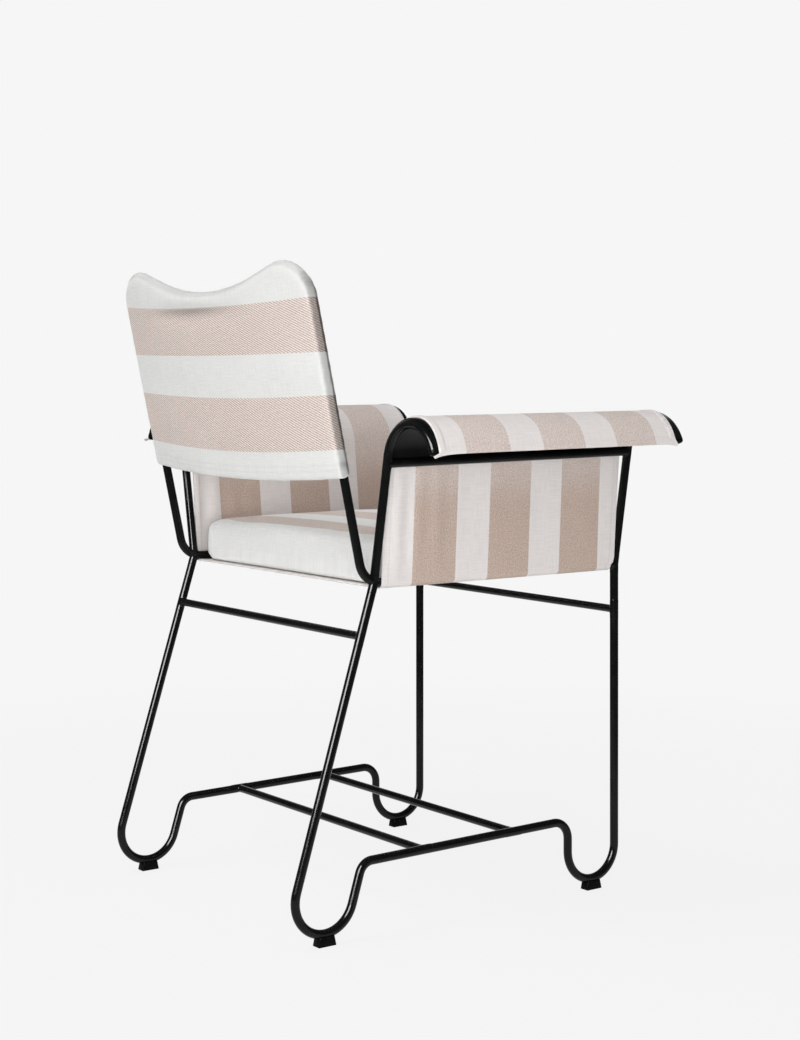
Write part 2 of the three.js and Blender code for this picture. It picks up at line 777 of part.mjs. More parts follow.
const rearLegLean = rearLegGeometry().lean;
const rearCrossbarY = seatRear + Math.tan(rearLegLean) * rearCrossbarDrop;
const lowHeight = (y) => mix(stretcherFrontHeight, stretcherRearHeight, (y + footHalfLength) / (2 * footHalfLength));
add('rear_crossbar', crossbar(rearCrossbarY, seatHeight - rearCrossbarDrop), steel);
add('front_crossbar', crossbar(frontLeg, seatHeight - frontCrossbarDrop), steel);
add('low_crossbar_rear', crossbar(lowCrossbarRear, lowHeight(lowCrossbarRear)), steel);
add('low_crossbar_front', crossbar(-lowCrossbarFront, lowHeight(-lowCrossbarFront)), steel);
add('back_frame', rod(backFrameCorners(), tubeDiameter), steel);
add('back_cover_bar', cut(rod(coverBarCorners(), coverBarDiameter), backFrame), steel);
add('seat_sling', seatSling(), stripedCloth);
add('seat_cushion', cushion(), paleCloth);
add('back_cover', backCover(), paleCloth);

// Stand the chair on the floor with the origin under the middle of its bounding box
const reach = new THREE.Box3().setFromObject(chair);
chair.position.y = -(reach.min.y + reach.max.y) / 2;

export default chair;
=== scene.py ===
"""Sling patio chair: bent rod frame, scrolled arms, striped slings, padded back cover and seat cushion.

Metres, +Z up. The sitter faces -Y, so the chair's right side is at -X and its left side at +X.
"""

import sys

import logging
import math
from collections.abc import Callable, Iterator, Sequence
from contextlib import contextmanager
from dataclasses import dataclass, field
from enum import Enum

import bmesh
import bpy
import numpy as np
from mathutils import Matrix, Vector


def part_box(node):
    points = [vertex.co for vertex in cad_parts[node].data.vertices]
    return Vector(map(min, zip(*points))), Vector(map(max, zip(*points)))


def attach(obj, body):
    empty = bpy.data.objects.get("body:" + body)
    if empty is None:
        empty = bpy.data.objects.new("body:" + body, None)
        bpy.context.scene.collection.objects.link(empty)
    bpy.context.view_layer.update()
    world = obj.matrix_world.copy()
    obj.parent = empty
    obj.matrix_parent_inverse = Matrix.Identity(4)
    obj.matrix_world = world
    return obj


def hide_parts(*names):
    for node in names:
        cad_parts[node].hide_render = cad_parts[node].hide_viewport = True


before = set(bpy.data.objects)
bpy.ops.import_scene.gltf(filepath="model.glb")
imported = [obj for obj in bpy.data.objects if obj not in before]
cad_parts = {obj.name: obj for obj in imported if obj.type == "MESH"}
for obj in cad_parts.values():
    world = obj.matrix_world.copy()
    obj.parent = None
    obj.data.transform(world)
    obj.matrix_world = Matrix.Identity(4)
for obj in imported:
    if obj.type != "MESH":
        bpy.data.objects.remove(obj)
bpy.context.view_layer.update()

log = logging.getLogger("sling_chair")

MM = 0.001
QUARTER = math.pi / 2
RUN_MAP = "cloth_run"
# Vertex attribute of stitch lines and painted shade, which the cloth colours are multiplied by.
SHADE = "cloth_shade"
UP = Vector((0, 0, 1))
FORWARD = Vector((0, -1, 0))

Array = np.ndarray
Socket = bpy.types.NodeSocket
Value = Socket | float | int | tuple


class Side(Enum):
    """The two sides of the chair, by the sign of their X."""

    RIGHT = -1
    LEFT = 1

    @property
    def label(self) -> str:
        """The side's name as the CAD nodes end with it."""
        return self.name.lower()


class Slot(Enum):
    """Material slots of the record."""

    ENAMEL = "frame_enamel"
    NYLON = "black_nylon"
    SLING = "sling_cloth"
    CUSHION = "cushion_cloth"
    COVER = "cover_cloth"


# Working at the bench


def deselect() -> None:
    """Leave edit mode and leave nothing selected."""
    if bpy.context.object and bpy.context.object.mode != "OBJECT":
        bpy.ops.object.mode_set(mode="OBJECT")
    bpy.ops.object.select_all(action="DESELECT")


def pick(piece: bpy.types.Object) -> None:
    """Make one piece the only one selected, and the active one.

    Args:
        piece: The piece to work on.
    """
    deselect()
    piece.select_set(True)
    bpy.context.view_layer.objects.active = piece


@contextmanager
def editing(piece: bpy.types.Object) -> Iterator[None]:
    """Hold a piece in edit mode with nothing on it selected.

    Args:
        piece: The piece to edit.
    """
    pick(piece)
    bpy.ops.object.mode_set(mode="EDIT")
    bpy.ops.mesh.select_all(action="DESELECT")
    yield
    bpy.ops.object.mode_set(mode="OBJECT")


def select_verts(piece: bpy.types.Object, test: Callable[[Vector], bool]) -> None:
    """Select the vertices whose place passes a test, in edit mode.

    Args:
        piece: The piece in edit mode.
        test: Takes a place and says whether to select it.
    """
    mesh = bmesh.from_edit_mesh(piece.data)
    for vert in mesh.verts:
        vert.select_set(test(vert.co))
    mesh.select_flush_mode()
    bmesh.update_edit_mesh(piece.data)


def select_edges(piece: bpy.types.Object, test: Callable[[bmesh.types.BMEdge], bool]) -> None:
    """Select the edges that pass a test, in edit mode.

    Args:
        piece: The piece in edit mode.
        test: Takes an edge and says whether to select it.
    """
    bpy.ops.mesh.select_mode(type="EDGE")
    mesh = bmesh.from_edit_mesh(piece.data)
    for edge in mesh.edges:
        edge.select_set(test(edge))
    bmesh.update_edit_mesh(piece.data)


def settle(piece: bpy.types.Object) -> bpy.types.Object:
    """Put a piece's place, turn and size into its mesh.

    Args:
        piece: The piece to settle.

    Returns:
        The same piece, its object at the origin.
    """
    pick(piece)
    bpy.ops.object.transform_apply(location=True, rotation=True, scale=True)
    return piece


def apply_all(piece: bpy.types.Object) -> bpy.types.Object:
    """Apply every modifier on a piece, in order.

    Args:
        piece: The piece with modifiers.

    Returns:
        The same piece.
    """
    pick(piece)
    for modifier in list(piece.modifiers):
        bpy.ops.object.modifier_apply(modifier=modifier.name)
    return piece


def close_up(piece: bpy.types.Object) -> bpy.types.Object:
    """Merge a piece's doubles, close its open rings and turn its faces out.

    Args:
        piece: The piece to close.

    Returns:
        The same piece.
    """
    with editing(piece):
        bpy.ops.mesh.select_all(action="SELECT")
        bpy.ops.mesh.remove_doubles(threshold=1e-6)
        bpy.ops.mesh.fill_holes(sides=0)
        bpy.ops.mesh.normals_make_consistent(inside=False)
    return piece


def smooth(piece: bpy.types.Object, angle: float = 40) -> bpy.types.Object:
    """Shade a piece smooth but for edges sharper than an angle.

    Args:
        piece: The piece to shade.
        angle: The sharpest smooth edge, in degrees.

    Returns:
        The same piece.
    """
    pick(piece)
    bpy.ops.object.shade_smooth_by_angle(angle=math.radians(angle))
    return piece


def finish_piece(
    piece: bpy.types.Object, name: str, finish: "Finish", nodes: Sequence[str] = ()
) -> bpy.types.Object:
    """Name a piece, dress it, and hang it on the chair's one body.

    Args:
        piece: The finished piece.
        name: Its name.
        finish: The finish that it wears.
        nodes: The CAD nodes that it stands for.

    Returns:
        The same piece.
    """
    piece.name = name
    piece.data.name = name
    piece.data.materials.clear()
    piece.data.materials.append(finish.material())
    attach(piece, "root")
    if nodes:
        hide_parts(*nodes)
    log.info("%s: %d faces", name, len(piece.data.polygons))
    return piece


def mix(start: float | Array, end: float | Array, share: float | Array) -> float | Array:
    """The value a share of the way from start to end."""
    return start + (end - start) * share


def ease(values: Array | float, low: float, high: float) -> Array:
    """A smooth step from 0 at low to 1 at high.

    Args:
        values: Where to take the step's height.
        low: Where it leaves 0.
        high: Where it reaches 1.

    Returns:
        The height of the step at each value.
    """
    share = np.clip((np.asarray(values) - low) / (high - low), 0, 1)
    return share * share * (3 - 2 * share)


def bell(values: Array | float, middle: float, width: float) -> Array:
    """A rounded hump: 1 at its middle, and nearly 0 two widths from it."""
    return np.exp(-(((np.asarray(values) - middle) / width) ** 2))


def quarter_round(share: Array | float) -> Array:
    """The height of a quarter circle: 0 up to a share of 0, steep there, and 1 from a share of 1."""
    return np.sqrt(1 - (1 - np.clip(share, 0, 1)) ** 2)


# The chair's plan


@dataclass(frozen=True)
class Corner:
    """A turning point of a rod's centre line, and the radius of the bend there."""

    point: Vector
    bend: float = 0.0


@dataclass(frozen=True)
class ChairPlan:
    """Sizes that the sub-assemblies share, in metres and radians."""

    shift: float
    half_width: float = 0.213
    rod: float = 0.011
    crossbar: float = 0.010
    arm_rail: float = 0.010
    glide_height: float = 0.008
    foot_half_length: float = 0.2091
    rear_foot_radius: float = 0.0412
    front_foot_radius: float = 0.0404
    seat_height: float = 0.4205
    seat_rear: float = 0.1382
    back_setback: float = 0.0156
    back_lean: float = math.radians(12.41)
    arm_x: float = 0.2876
    arm_rise: float = 0.145
    rear_scroll: float = 0.0464
    front_scroll: float = 0.0491
    rear_tip: float = math.radians(18)
    front_tip: float = math.radians(24.2)
    cloth: float = 0.0016
    gap: float = 0.0003
    shell: float = 0.0012

    @property
    def front_leg(self) -> float:
        """Y of the front legs."""
        return -self.foot_half_length - self.front_foot_radius

    @property
    def arm_z(self) -> float:
        """Height of the arms' arch centre."""
        return self.seat_height + self.arm_rise

    @property
    def back_foot(self) -> float:
        """Y where the back's plane meets the seat's height."""
        return self.seat_rear + self.back_setback

    def at(self, x: float, y: float, z: float) -> Vector:
        """A place in the chair's frame from one on the plan."""
        return Vector((x, y + self.shift, z))

    def back_plane(self, z: float | Array) -> float | Array:
        """Y of the back's plane at a height."""
        return self.back_foot + math.tan(self.back_lean) * (z - self.seat_height)

    def forward(self, y: float | Array) -> float | Array:
        """How far forward a place is, as a share of the run between the scrolls."""
        return (self.seat_rear - y) / (self.seat_rear - self.front_leg)

    def scroll_radius(self, y: float | Array) -> float | Array:
        """Radius of the arm's rods at a place along it, carried on between the scrolls."""
        return mix(self.rear_scroll, self.front_scroll, self.forward(y))

    def tip(self, y: float | Array) -> float | Array:
        """Angle of the arm's outer edge at a place along it."""
        return mix(self.rear_tip, self.front_tip, self.forward(y))

    def arm_lean(self, radius: float | Array, reach: float = 0.0) -> float | Array:
        """Lean of the line from a seat corner that touches the arch.

        Args:
            radius: The arch's radius.
            reach: Radius of a circle round the seat corner that the line touches on its other side.

        Returns:
            The lean from upright, in radians.
        """
        across, up = self.arm_x - self.half_width, self.arm_rise
        return math.atan2(across, up) - np.arcsin((radius + reach) / math.hypot(across, up))

    def arch(self, side: Side, y: float, radius: float, tip: float) -> list[Corner]:
        """The corners of a rod's run over the arm.

        Args:
            side: The side of the chair.
            y: The arch's place along the arm.
            radius: Radius of the rod's centre line.
            tip: Angle above level at which the rod ends.

        Returns:
            Two bends and the end.
        """
        lean = float(self.arm_lean(radius))
        top = self.arm_z + radius
        inner = self.arm_x - radius * math.tan((QUARTER - lean) / 2)
        outer = self.arm_x + radius * math.tan((QUARTER - tip) / 2)
        end_x = self.arm_x + radius * math.cos(tip)
        end_z = self.arm_z + radius * math.sin(tip)
        return [
            Corner(self.at(side.value * inner, y, top), radius),
            Corner(self.at(side.value * outer, y, top), radius),
            Corner(self.at(side.value * end_x, y, end_z)),
        ]

    def rear_leg(self) -> tuple[float, float]:
        """Height of the rear foot loop's centre, and the lean of the rear leg."""
        centre = self.glide_height + self.rod / 2 + self.rear_foot_radius
        back, down = self.foot_half_length - self.seat_rear, self.seat_height - centre
        return centre, math.atan2(back, down) + math.asin(self.rear_foot_radius / math.hypot(back, down))


# Bent rods


@dataclass
class BentRod:
    """A round rod, drawn out along straight runs and spun round its bends."""

    corners: list[Corner]
    diameter: float
    sides: int = 28
    step: float = math.radians(6)
    run: float = 0.010

    def build(self) -> bpy.types.Object:
        """Draw the rod out from its first corner to its last.

        Returns:
            The rod, closed at both ends.
        """
        start = self.corners[0].point
        way = (self.corners[1].point - start).normalized()
        deselect()
        bpy.ops.mesh.primitive_circle_add(
            vertices=self.sides,
            radius=self.diameter / 2,
            location=start,
            rotation=way.to_track_quat("Z", "Y").to_euler(),
        )
        rod = settle(bpy.context.object)
        here = start
        with editing(rod):
            bpy.ops.mesh.select_all(action="SELECT")
            for before, corner, after in zip(self.corners, self.corners[1:], self.corners[2:]):
                here = self._bend(here, before, corner, after)
            self._draw(self.corners[-1].point - here)
        return smooth(close_up(rod))

    def _draw(self, way: Vector) -> None:
        """Draw the open end out along a straight run."""
        if way.length > 1e-6:
            bpy.ops.mesh.extrude_region_move(TRANSFORM_OT_translate={"value": way})

    def _bend(self, here: Vector, before: Corner, corner: Corner, after: Corner) -> Vector:
        """Draw the open end to a bend and spin it round.

        Args:
            here: Where the open end is.
            before: The corner before this one.
            corner: The corner that is bent round.
            after: The corner after this one.

        Returns:
            Where the open end is then.
        """
        arriving = (corner.point - before.point).normalized()
        leaving = (after.point - corner.point).normalized()
        turn = arriving.angle(leaving)
        axis = arriving.cross(leaving).normalized()
        reach = corner.bend * math.tan(turn / 2)
        start = corner.point - arriving * reach
        centre = start + axis.cross(arriving) * corner.bend
        self._draw(start - here)
        steps = math.ceil(max(turn / self.step, turn * corner.bend / self.run))
        bpy.ops.mesh.spin(steps=steps, angle=-turn, center=centre, axis=axis)
        return corner.point + leaving * reach


@dataclass
class RodWork:
    """The whole rod frame: side frames, arms, seat rails, crossbars and the back's frame."""

    plan: ChairPlan
    finish: "Finish"
    rear_rise: float = 0.0897
    front_rise: float = 0.0941
    rear_bend: float = 0.0184
    front_bend: float = 0.0231
    arm_bend: float = 0.060
    rear_crossbar_drop: float = 0.0624
    front_crossbar_drop: float = 0.0596
    low_rear: float = 0.0655
    low_front: float = -0.0765
    hook_bend: float = 0.030
    hook_tail: float = 0.010
    back_corner_bend: float = 0.038
    rail_drops: tuple[float, float] = (0.0018, -0.003)
    rail_set_out: float = 0.001
    cover_rod: float = 0.008
    cover_rod_rise: float = 0.1415
    cover_rod_bow: float = 0.020
    cover_rod_bend: float = 1.5
    top_bow: float = 0.01846

    def build(self, cover: "CoverShape") -> None:
        """Bend every rod of the frame.

        Args:
            cover: The outline that the back frame's top bar follows.
        """
        plan = self.plan
        for side in Side:
            for rod, node, corners, diameter in (
                ("side_rod", "side_frame", self._side_frame(side), plan.rod),
                ("rear_arm_rod", "rear_arm", self._rear_arm(side), plan.rod),
                ("arm_rail_rod", "arm_rail", self.arm_rail(side), plan.arm_rail),
                ("seat_side_rod", "seat_side_rail", self._side_rail(side), plan.rod),
            ):
                self._rod(f"{rod}_{side.label}", corners, diameter, f"{node}_{side.label}")
        bars = {
            "rear_crossbar": (self.rear_bar_y(), plan.seat_height - self.rear_crossbar_drop),
            "front_crossbar": (plan.front_leg, plan.seat_height - self.front_crossbar_drop),
            "low_crossbar_rear": (self.low_rear, self.stretcher(self.low_rear)),
            "low_crossbar_front": (self.low_front, self.stretcher(self.low_front)),
        }
        for node, (y, z) in bars.items():
            ends = [Corner(plan.at(x, y, z)) for x in (-plan.half_width, plan.half_width)]
            self._rod(f"{node}_rod", ends, plan.crossbar, node)
        self._rod("back_frame_rod", self._back_frame(cover), plan.rod, "back_frame")
        self._rod("cover_rod", self._cover_rod(), self.cover_rod, "back_cover_bar")

    def _rod(self, name: str, corners: list[Corner], diameter: float, node: str) -> None:
        """Bend one rod, dress it and let it stand for its CAD node."""
        finish_piece(BentRod(corners, diameter).build(), name, self.finish, [node])

    def rear_bar_y(self) -> float:
        """Y of the rear crossbar, between the rear legs."""
        return self.plan.seat_rear + math.tan(self.plan.rear_leg()[1]) * self.rear_crossbar_drop

    def stretcher(self, y: float) -> float:
        """Height of the stretchers at a place along them."""
        length = 2 * self.plan.foot_half_length
        return mix(self.front_rise, self.rear_rise, (y + self.plan.foot_half_length) / length)

    def _side_frame(self, side: Side) -> list[Corner]:
        """Rear leg, foot loops, stretcher, front leg and front scroll, in one line."""
        plan = self.plan
        x = side.value * plan.half_width
        centre, lean = plan.rear_leg()
        radius, foot = plan.rear_foot_radius, plan.foot_half_length
        along = Vector((0, math.sin(lean), -math.cos(lean))) * radius
        out = Vector((0, math.cos(lean), math.sin(lean))) * radius
        loop = plan.at(x, foot, centre)
        rise_y = foot - out.y - math.tan(lean) * (self.rear_rise - centre + out.z)
        inner = plan.front_foot_radius - foot
        base = plan.glide_height + plan.rod / 2
        return [
            Corner(plan.at(x, plan.seat_rear, plan.seat_height)),
            Corner(loop + out + along, radius),
            Corner(loop - out + along, radius),
            Corner(plan.at(x, rise_y, self.rear_rise), self.rear_bend),
            Corner(plan.at(x, inner, self.front_rise), self.front_bend),
            Corner(plan.at(x, inner, base), plan.front_foot_radius),
            Corner(plan.at(x, plan.front_leg, base), plan.front_foot_radius),
            Corner(plan.at(x, plan.front_leg, plan.seat_height), self.arm_bend),
            *plan.arch(side, plan.front_leg, plan.front_scroll, plan.front_tip),
        ]

    def _rear_arm(self, side: Side) -> list[Corner]:
        """Rear arm upright and rear scroll."""
        plan = self.plan
        foot = Corner(plan.at(side.value * plan.half_width, plan.seat_rear, plan.seat_height))
        return [foot, *plan.arch(side, plan.seat_rear, plan.rear_scroll, plan.rear_tip)]

    def arm_rail(self, side: Side) -> list[Corner]:
        """The thin rail between the two arm uprights."""
        plan = self.plan
        ends = []
        for y, radius, drop in zip(
            (plan.seat_rear, plan.front_leg), (plan.rear_scroll, plan.front_scroll), self.rail_drops
        ):
            z = plan.arm_z - drop
            x = plan.half_width + math.tan(plan.arm_lean(radius)) * (z - plan.seat_height) + self.rail_set_out
            ends.append(Corner(plan.at(side.value * x, y, z)))
        return ends

    def _side_rail(self, side: Side) -> list[Corner]:
        """The seat's side rail."""
        plan = self.plan
        x = side.value * plan.half_width
        return [Corner(plan.at(x, y, plan.seat_height)) for y in (plan.seat_rear, plan.front_leg)]

    def _back_frame(self, cover: "CoverShape") -> list[Corner]:
        """Both back uprights, their hooked feet and the waved top bar."""
        plan = self.plan
        inset = cover.bar_inset / math.cos(cover.wave_lean)
        middle = cover.wave_base() - inset
        corner = middle + plan.half_width * math.tan(cover.wave_lean)
        halves = []
        for side in Side:
            x = side.value * plan.half_width
            halves.append(
                [
                    Corner(plan.at(x, plan.seat_rear - self.hook_tail, plan.seat_height)),
                    Corner(plan.at(x, plan.back_foot, plan.seat_height), self.hook_bend),
                    Corner(plan.at(x, plan.back_plane(corner), corner), self.back_corner_bend),
                ]
            )
        bowed = plan.back_plane(middle) + self.top_bow
        valley = Corner(plan.at(0, bowed, middle), cover.valley_radius() + cover.bar_inset)
        return [*halves[0], valley, *reversed(halves[1])]

    def _cover_rod(self) -> list[Corner]:
        """The thin bowed rod in the back cover's hem."""
        plan = self.plan
        z = plan.seat_height + self.cover_rod_rise
        y = plan.back_plane(z)
        return [
            Corner(plan.at(-plan.half_width, y, z)),
            Corner(plan.at(0, y + self.cover_rod_bow, z), self.cover_rod_bend),
            Corner(plan.at(plan.half_width, y, z)),
        ]


@dataclass
class Glides:
    """The black blocks under the foot loops."""

    plan: ChairPlan
    finish: "Finish"
    length: float = 0.025
    width: float = 0.014
    height: float = 0.012
    top_shares: tuple[float, float] = (0.94, 0.8)
    edge: float = 0.0009

    def build(self) -> None:
        """Make one glide and copy it to the four loops."""
        pattern = self._block()
        for side in Side:
            for end, way in (("rear", 1), ("front", -1)):
                block = pattern.copy()
                block.data = pattern.data.copy()
                bpy.context.collection.objects.link(block)
                x, y = side.value * self.plan.half_width, way * self.plan.foot_half_length
                block.location = self.plan.at(x, y, 0)
                settle(block)
                node = f"foot_glide_{end}_{side.label}"
                finish_piece(block, f"{node}_block", self.finish, [node])
        bpy.data.objects.remove(pattern)

    def _block(self) -> bpy.types.Object:
        """Shape one block, narrower at its top, with rounded edges."""
        deselect()
        bpy.ops.mesh.primitive_cube_add(size=1, location=(0, 0, self.height / 2))
        block = bpy.context.object
        block.scale = (self.width, self.length, self.height)
        settle(block)
        with editing(block):
            select_verts(block, lambda co: co.z > self.height / 2)
            bpy.ops.transform.resize(value=(*self.top_shares, 1), center_override=(0, 0, self.height))
            bpy.ops.mesh.select_all(action="SELECT")
            bpy.ops.mesh.bevel(offset=self.edge, segments=3, affect="EDGES")
            bpy.ops.mesh.normals_make_consistent(inside=False)
        return smooth(block, 30)


@dataclass
class ScrollCaps:
    """The domed ends of the four scrolls."""

    plan: ChairPlan
    finish: "Finish"
    overlap: float = 0.003
    collar: float = 0.0022
    clearance: float = 0.0002
    rings: tuple[tuple[float, float], ...] = (
        (0.0012, 1.0), (0.0011, 0.96), (0.0009, 0.85), (0.0007, 0.66), (0.0004, 0.4),
    )

    def build(self) -> None:
        """Dome the end of each scroll."""
        plan = self.plan
        for side in Side:
            for end, y, radius, tip in (
                ("rear", plan.seat_rear, plan.rear_scroll, plan.rear_tip),
                ("front", plan.front_leg, plan.front_scroll, plan.front_tip),
            ):
                node = f"scroll_cap_{end}_{side.label}"
                dome = self._dome(side, y, radius, tip)
                finish_piece(dome, f"{node}_dome", self.finish, [node])

    def _dome(self, side: Side, y: float, radius: float, tip: float) -> bpy.types.Object:
        """Draw a ring out and in to a dome on a scroll's end."""
        plan = self.plan
        end = plan.arch(side, y, radius, tip)[-1].point
        way = Vector((side.value * math.sin(tip), 0, -math.cos(tip)))
        start = end - way * self.overlap
        deselect()
        bpy.ops.mesh.primitive_circle_add(
            vertices=28,
            radius=plan.rod / 2 + self.clearance,
            location=start,
            rotation=way.to_track_quat("Z", "Y").to_euler(),
        )
        dome = settle(bpy.context.object)
        centre, size = start.copy(), 1.0
        with editing(dome):
            bpy.ops.mesh.select_all(action="SELECT")
            bpy.ops.mesh.extrude_region_move(TRANSFORM_OT_translate={"value": way * self.collar})
            centre += way * self.collar
            for step, share in self.rings:
                centre += way * step
                bpy.ops.mesh.extrude_region_move(TRANSFORM_OT_translate={"value": way * step})
                bpy.ops.transform.resize(value=(share / size,) * 3, center_override=centre)
                size = share
        return smooth(close_up(dome), 60)


@dataclass
class Welds:
    """Fillets of weld metal where the rods meet."""

    plan: ChairPlan
    finish: "Finish"
    rods: RodWork
    stub: float = 0.014
    skin: float = 0.00022
    voxel: float = 0.0008
    passes: int = 22

    def build(self) -> None:
        """Fill every joint of the frame."""
        for side in Side:
            for key, (point, arms) in self._joints(side).items():
                weld = self._fillet(point, arms)
                finish_piece(weld, f"weld_{key}_{side.label}", self.finish)

    def _upright(self, side: Side, radius: float) -> Vector:
        """The way that an arm upright rises towards a scroll of a radius."""
        lean = float(self.plan.arm_lean(radius))
        return Vector((side.value * math.sin(lean), 0, math.cos(lean)))

    def _joints(self, side: Side) -> dict[str, tuple[Vector, list[tuple[Vector, float]]]]:
        """The places where rods meet on one side.

        Args:
            side: The side of the chair.

        Returns:
            By name, the place, and the way and the diameter of each rod that leaves it.
        """
        plan, rods = self.plan, self.rods
        rod, bar, seat = plan.rod, plan.crossbar, plan.seat_height
        x, inward = side.value * plan.half_width, Vector((-side.value, 0, 0))
        lean = plan.rear_leg()[1]
        down = Vector((0, math.sin(lean), -math.cos(lean)))
        up, front_up = (self._upright(side, radius) for radius in (plan.rear_scroll, plan.front_scroll))
        rear_bar = plan.at(x, rods.rear_bar_y(), seat - rods.rear_crossbar_drop)
        front_bar = plan.at(x, plan.front_leg, seat - rods.front_crossbar_drop)
        joints = {
            "seat_rear": (plan.at(x, plan.seat_rear, seat), [(down, rod), (up, rod), (FORWARD, rod)]),
            "seat_front": (plan.at(x, plan.front_leg, seat), [(-UP, rod), (front_up, rod), (-FORWARD, rod)]),
            "rear_bar": (rear_bar, [(down, rod), (-down, rod), (inward, bar)]),
            "front_bar": (front_bar, [(UP, rod), (-UP, rod), (inward, bar)]),
        }
        slope = Vector((0, 2 * plan.foot_half_length, rods.rear_rise - rods.front_rise)).normalized()
        for key, y in (("low_rear", rods.low_rear), ("low_front", rods.low_front)):
            joints[key] = (plan.at(x, y, rods.stretcher(y)), [(slope, rod), (-slope, rod), (inward, bar)])
        set_out = Vector((side.value * rods.rail_set_out, 0, 0))
        ends = zip(("rail_rear", "rail_front"), rods.arm_rail(side), (up, front_up), (FORWARD, -FORWARD))
        for key, end, rise, way in ends:
            rail = (way * self.stub + set_out, plan.arm_rail)
            joints[key] = (end.point - set_out, [(rise, rod), (-rise, rod), rail])
        return joints

    def _fillet(self, point: Vector, arms: list[tuple[Vector, float]]) -> bpy.types.Object:
        """Blend short stubs of the rods that meet at a point.

        Args:
            point: Where the rods' centre lines meet.
            arms: The way that each rod leaves, and its diameter.

        Returns:
            One smooth closed piece whose fillets stand out from the rods.
        """
        stubs = []
        for way, diameter in arms:
            deselect()
            bpy.ops.mesh.primitive_cylinder_add(
                vertices=32,
                radius=diameter / 2 + self.skin,
                depth=self.stub,
                location=point + way.normalized() * self.stub / 2,
                rotation=way.to_track_quat("Z", "Y").to_euler(),
            )
            stubs.append(settle(bpy.context.object))
        deselect()
        for stub in stubs:
            stub.select_set(True)
        bpy.context.view_layer.objects.active = stubs[0]
        bpy.ops.object.join()
        weld = stubs[0]
        remesh = weld.modifiers.new("Remesh", "REMESH")
        remesh.mode = "VOXEL"
        remesh.voxel_size = self.voxel
        flow = weld.modifiers.new("Flow", "SMOOTH")
        flow.factor = 0.5
        flow.iterations = self.passes
        return smooth(apply_all(weld), 80)


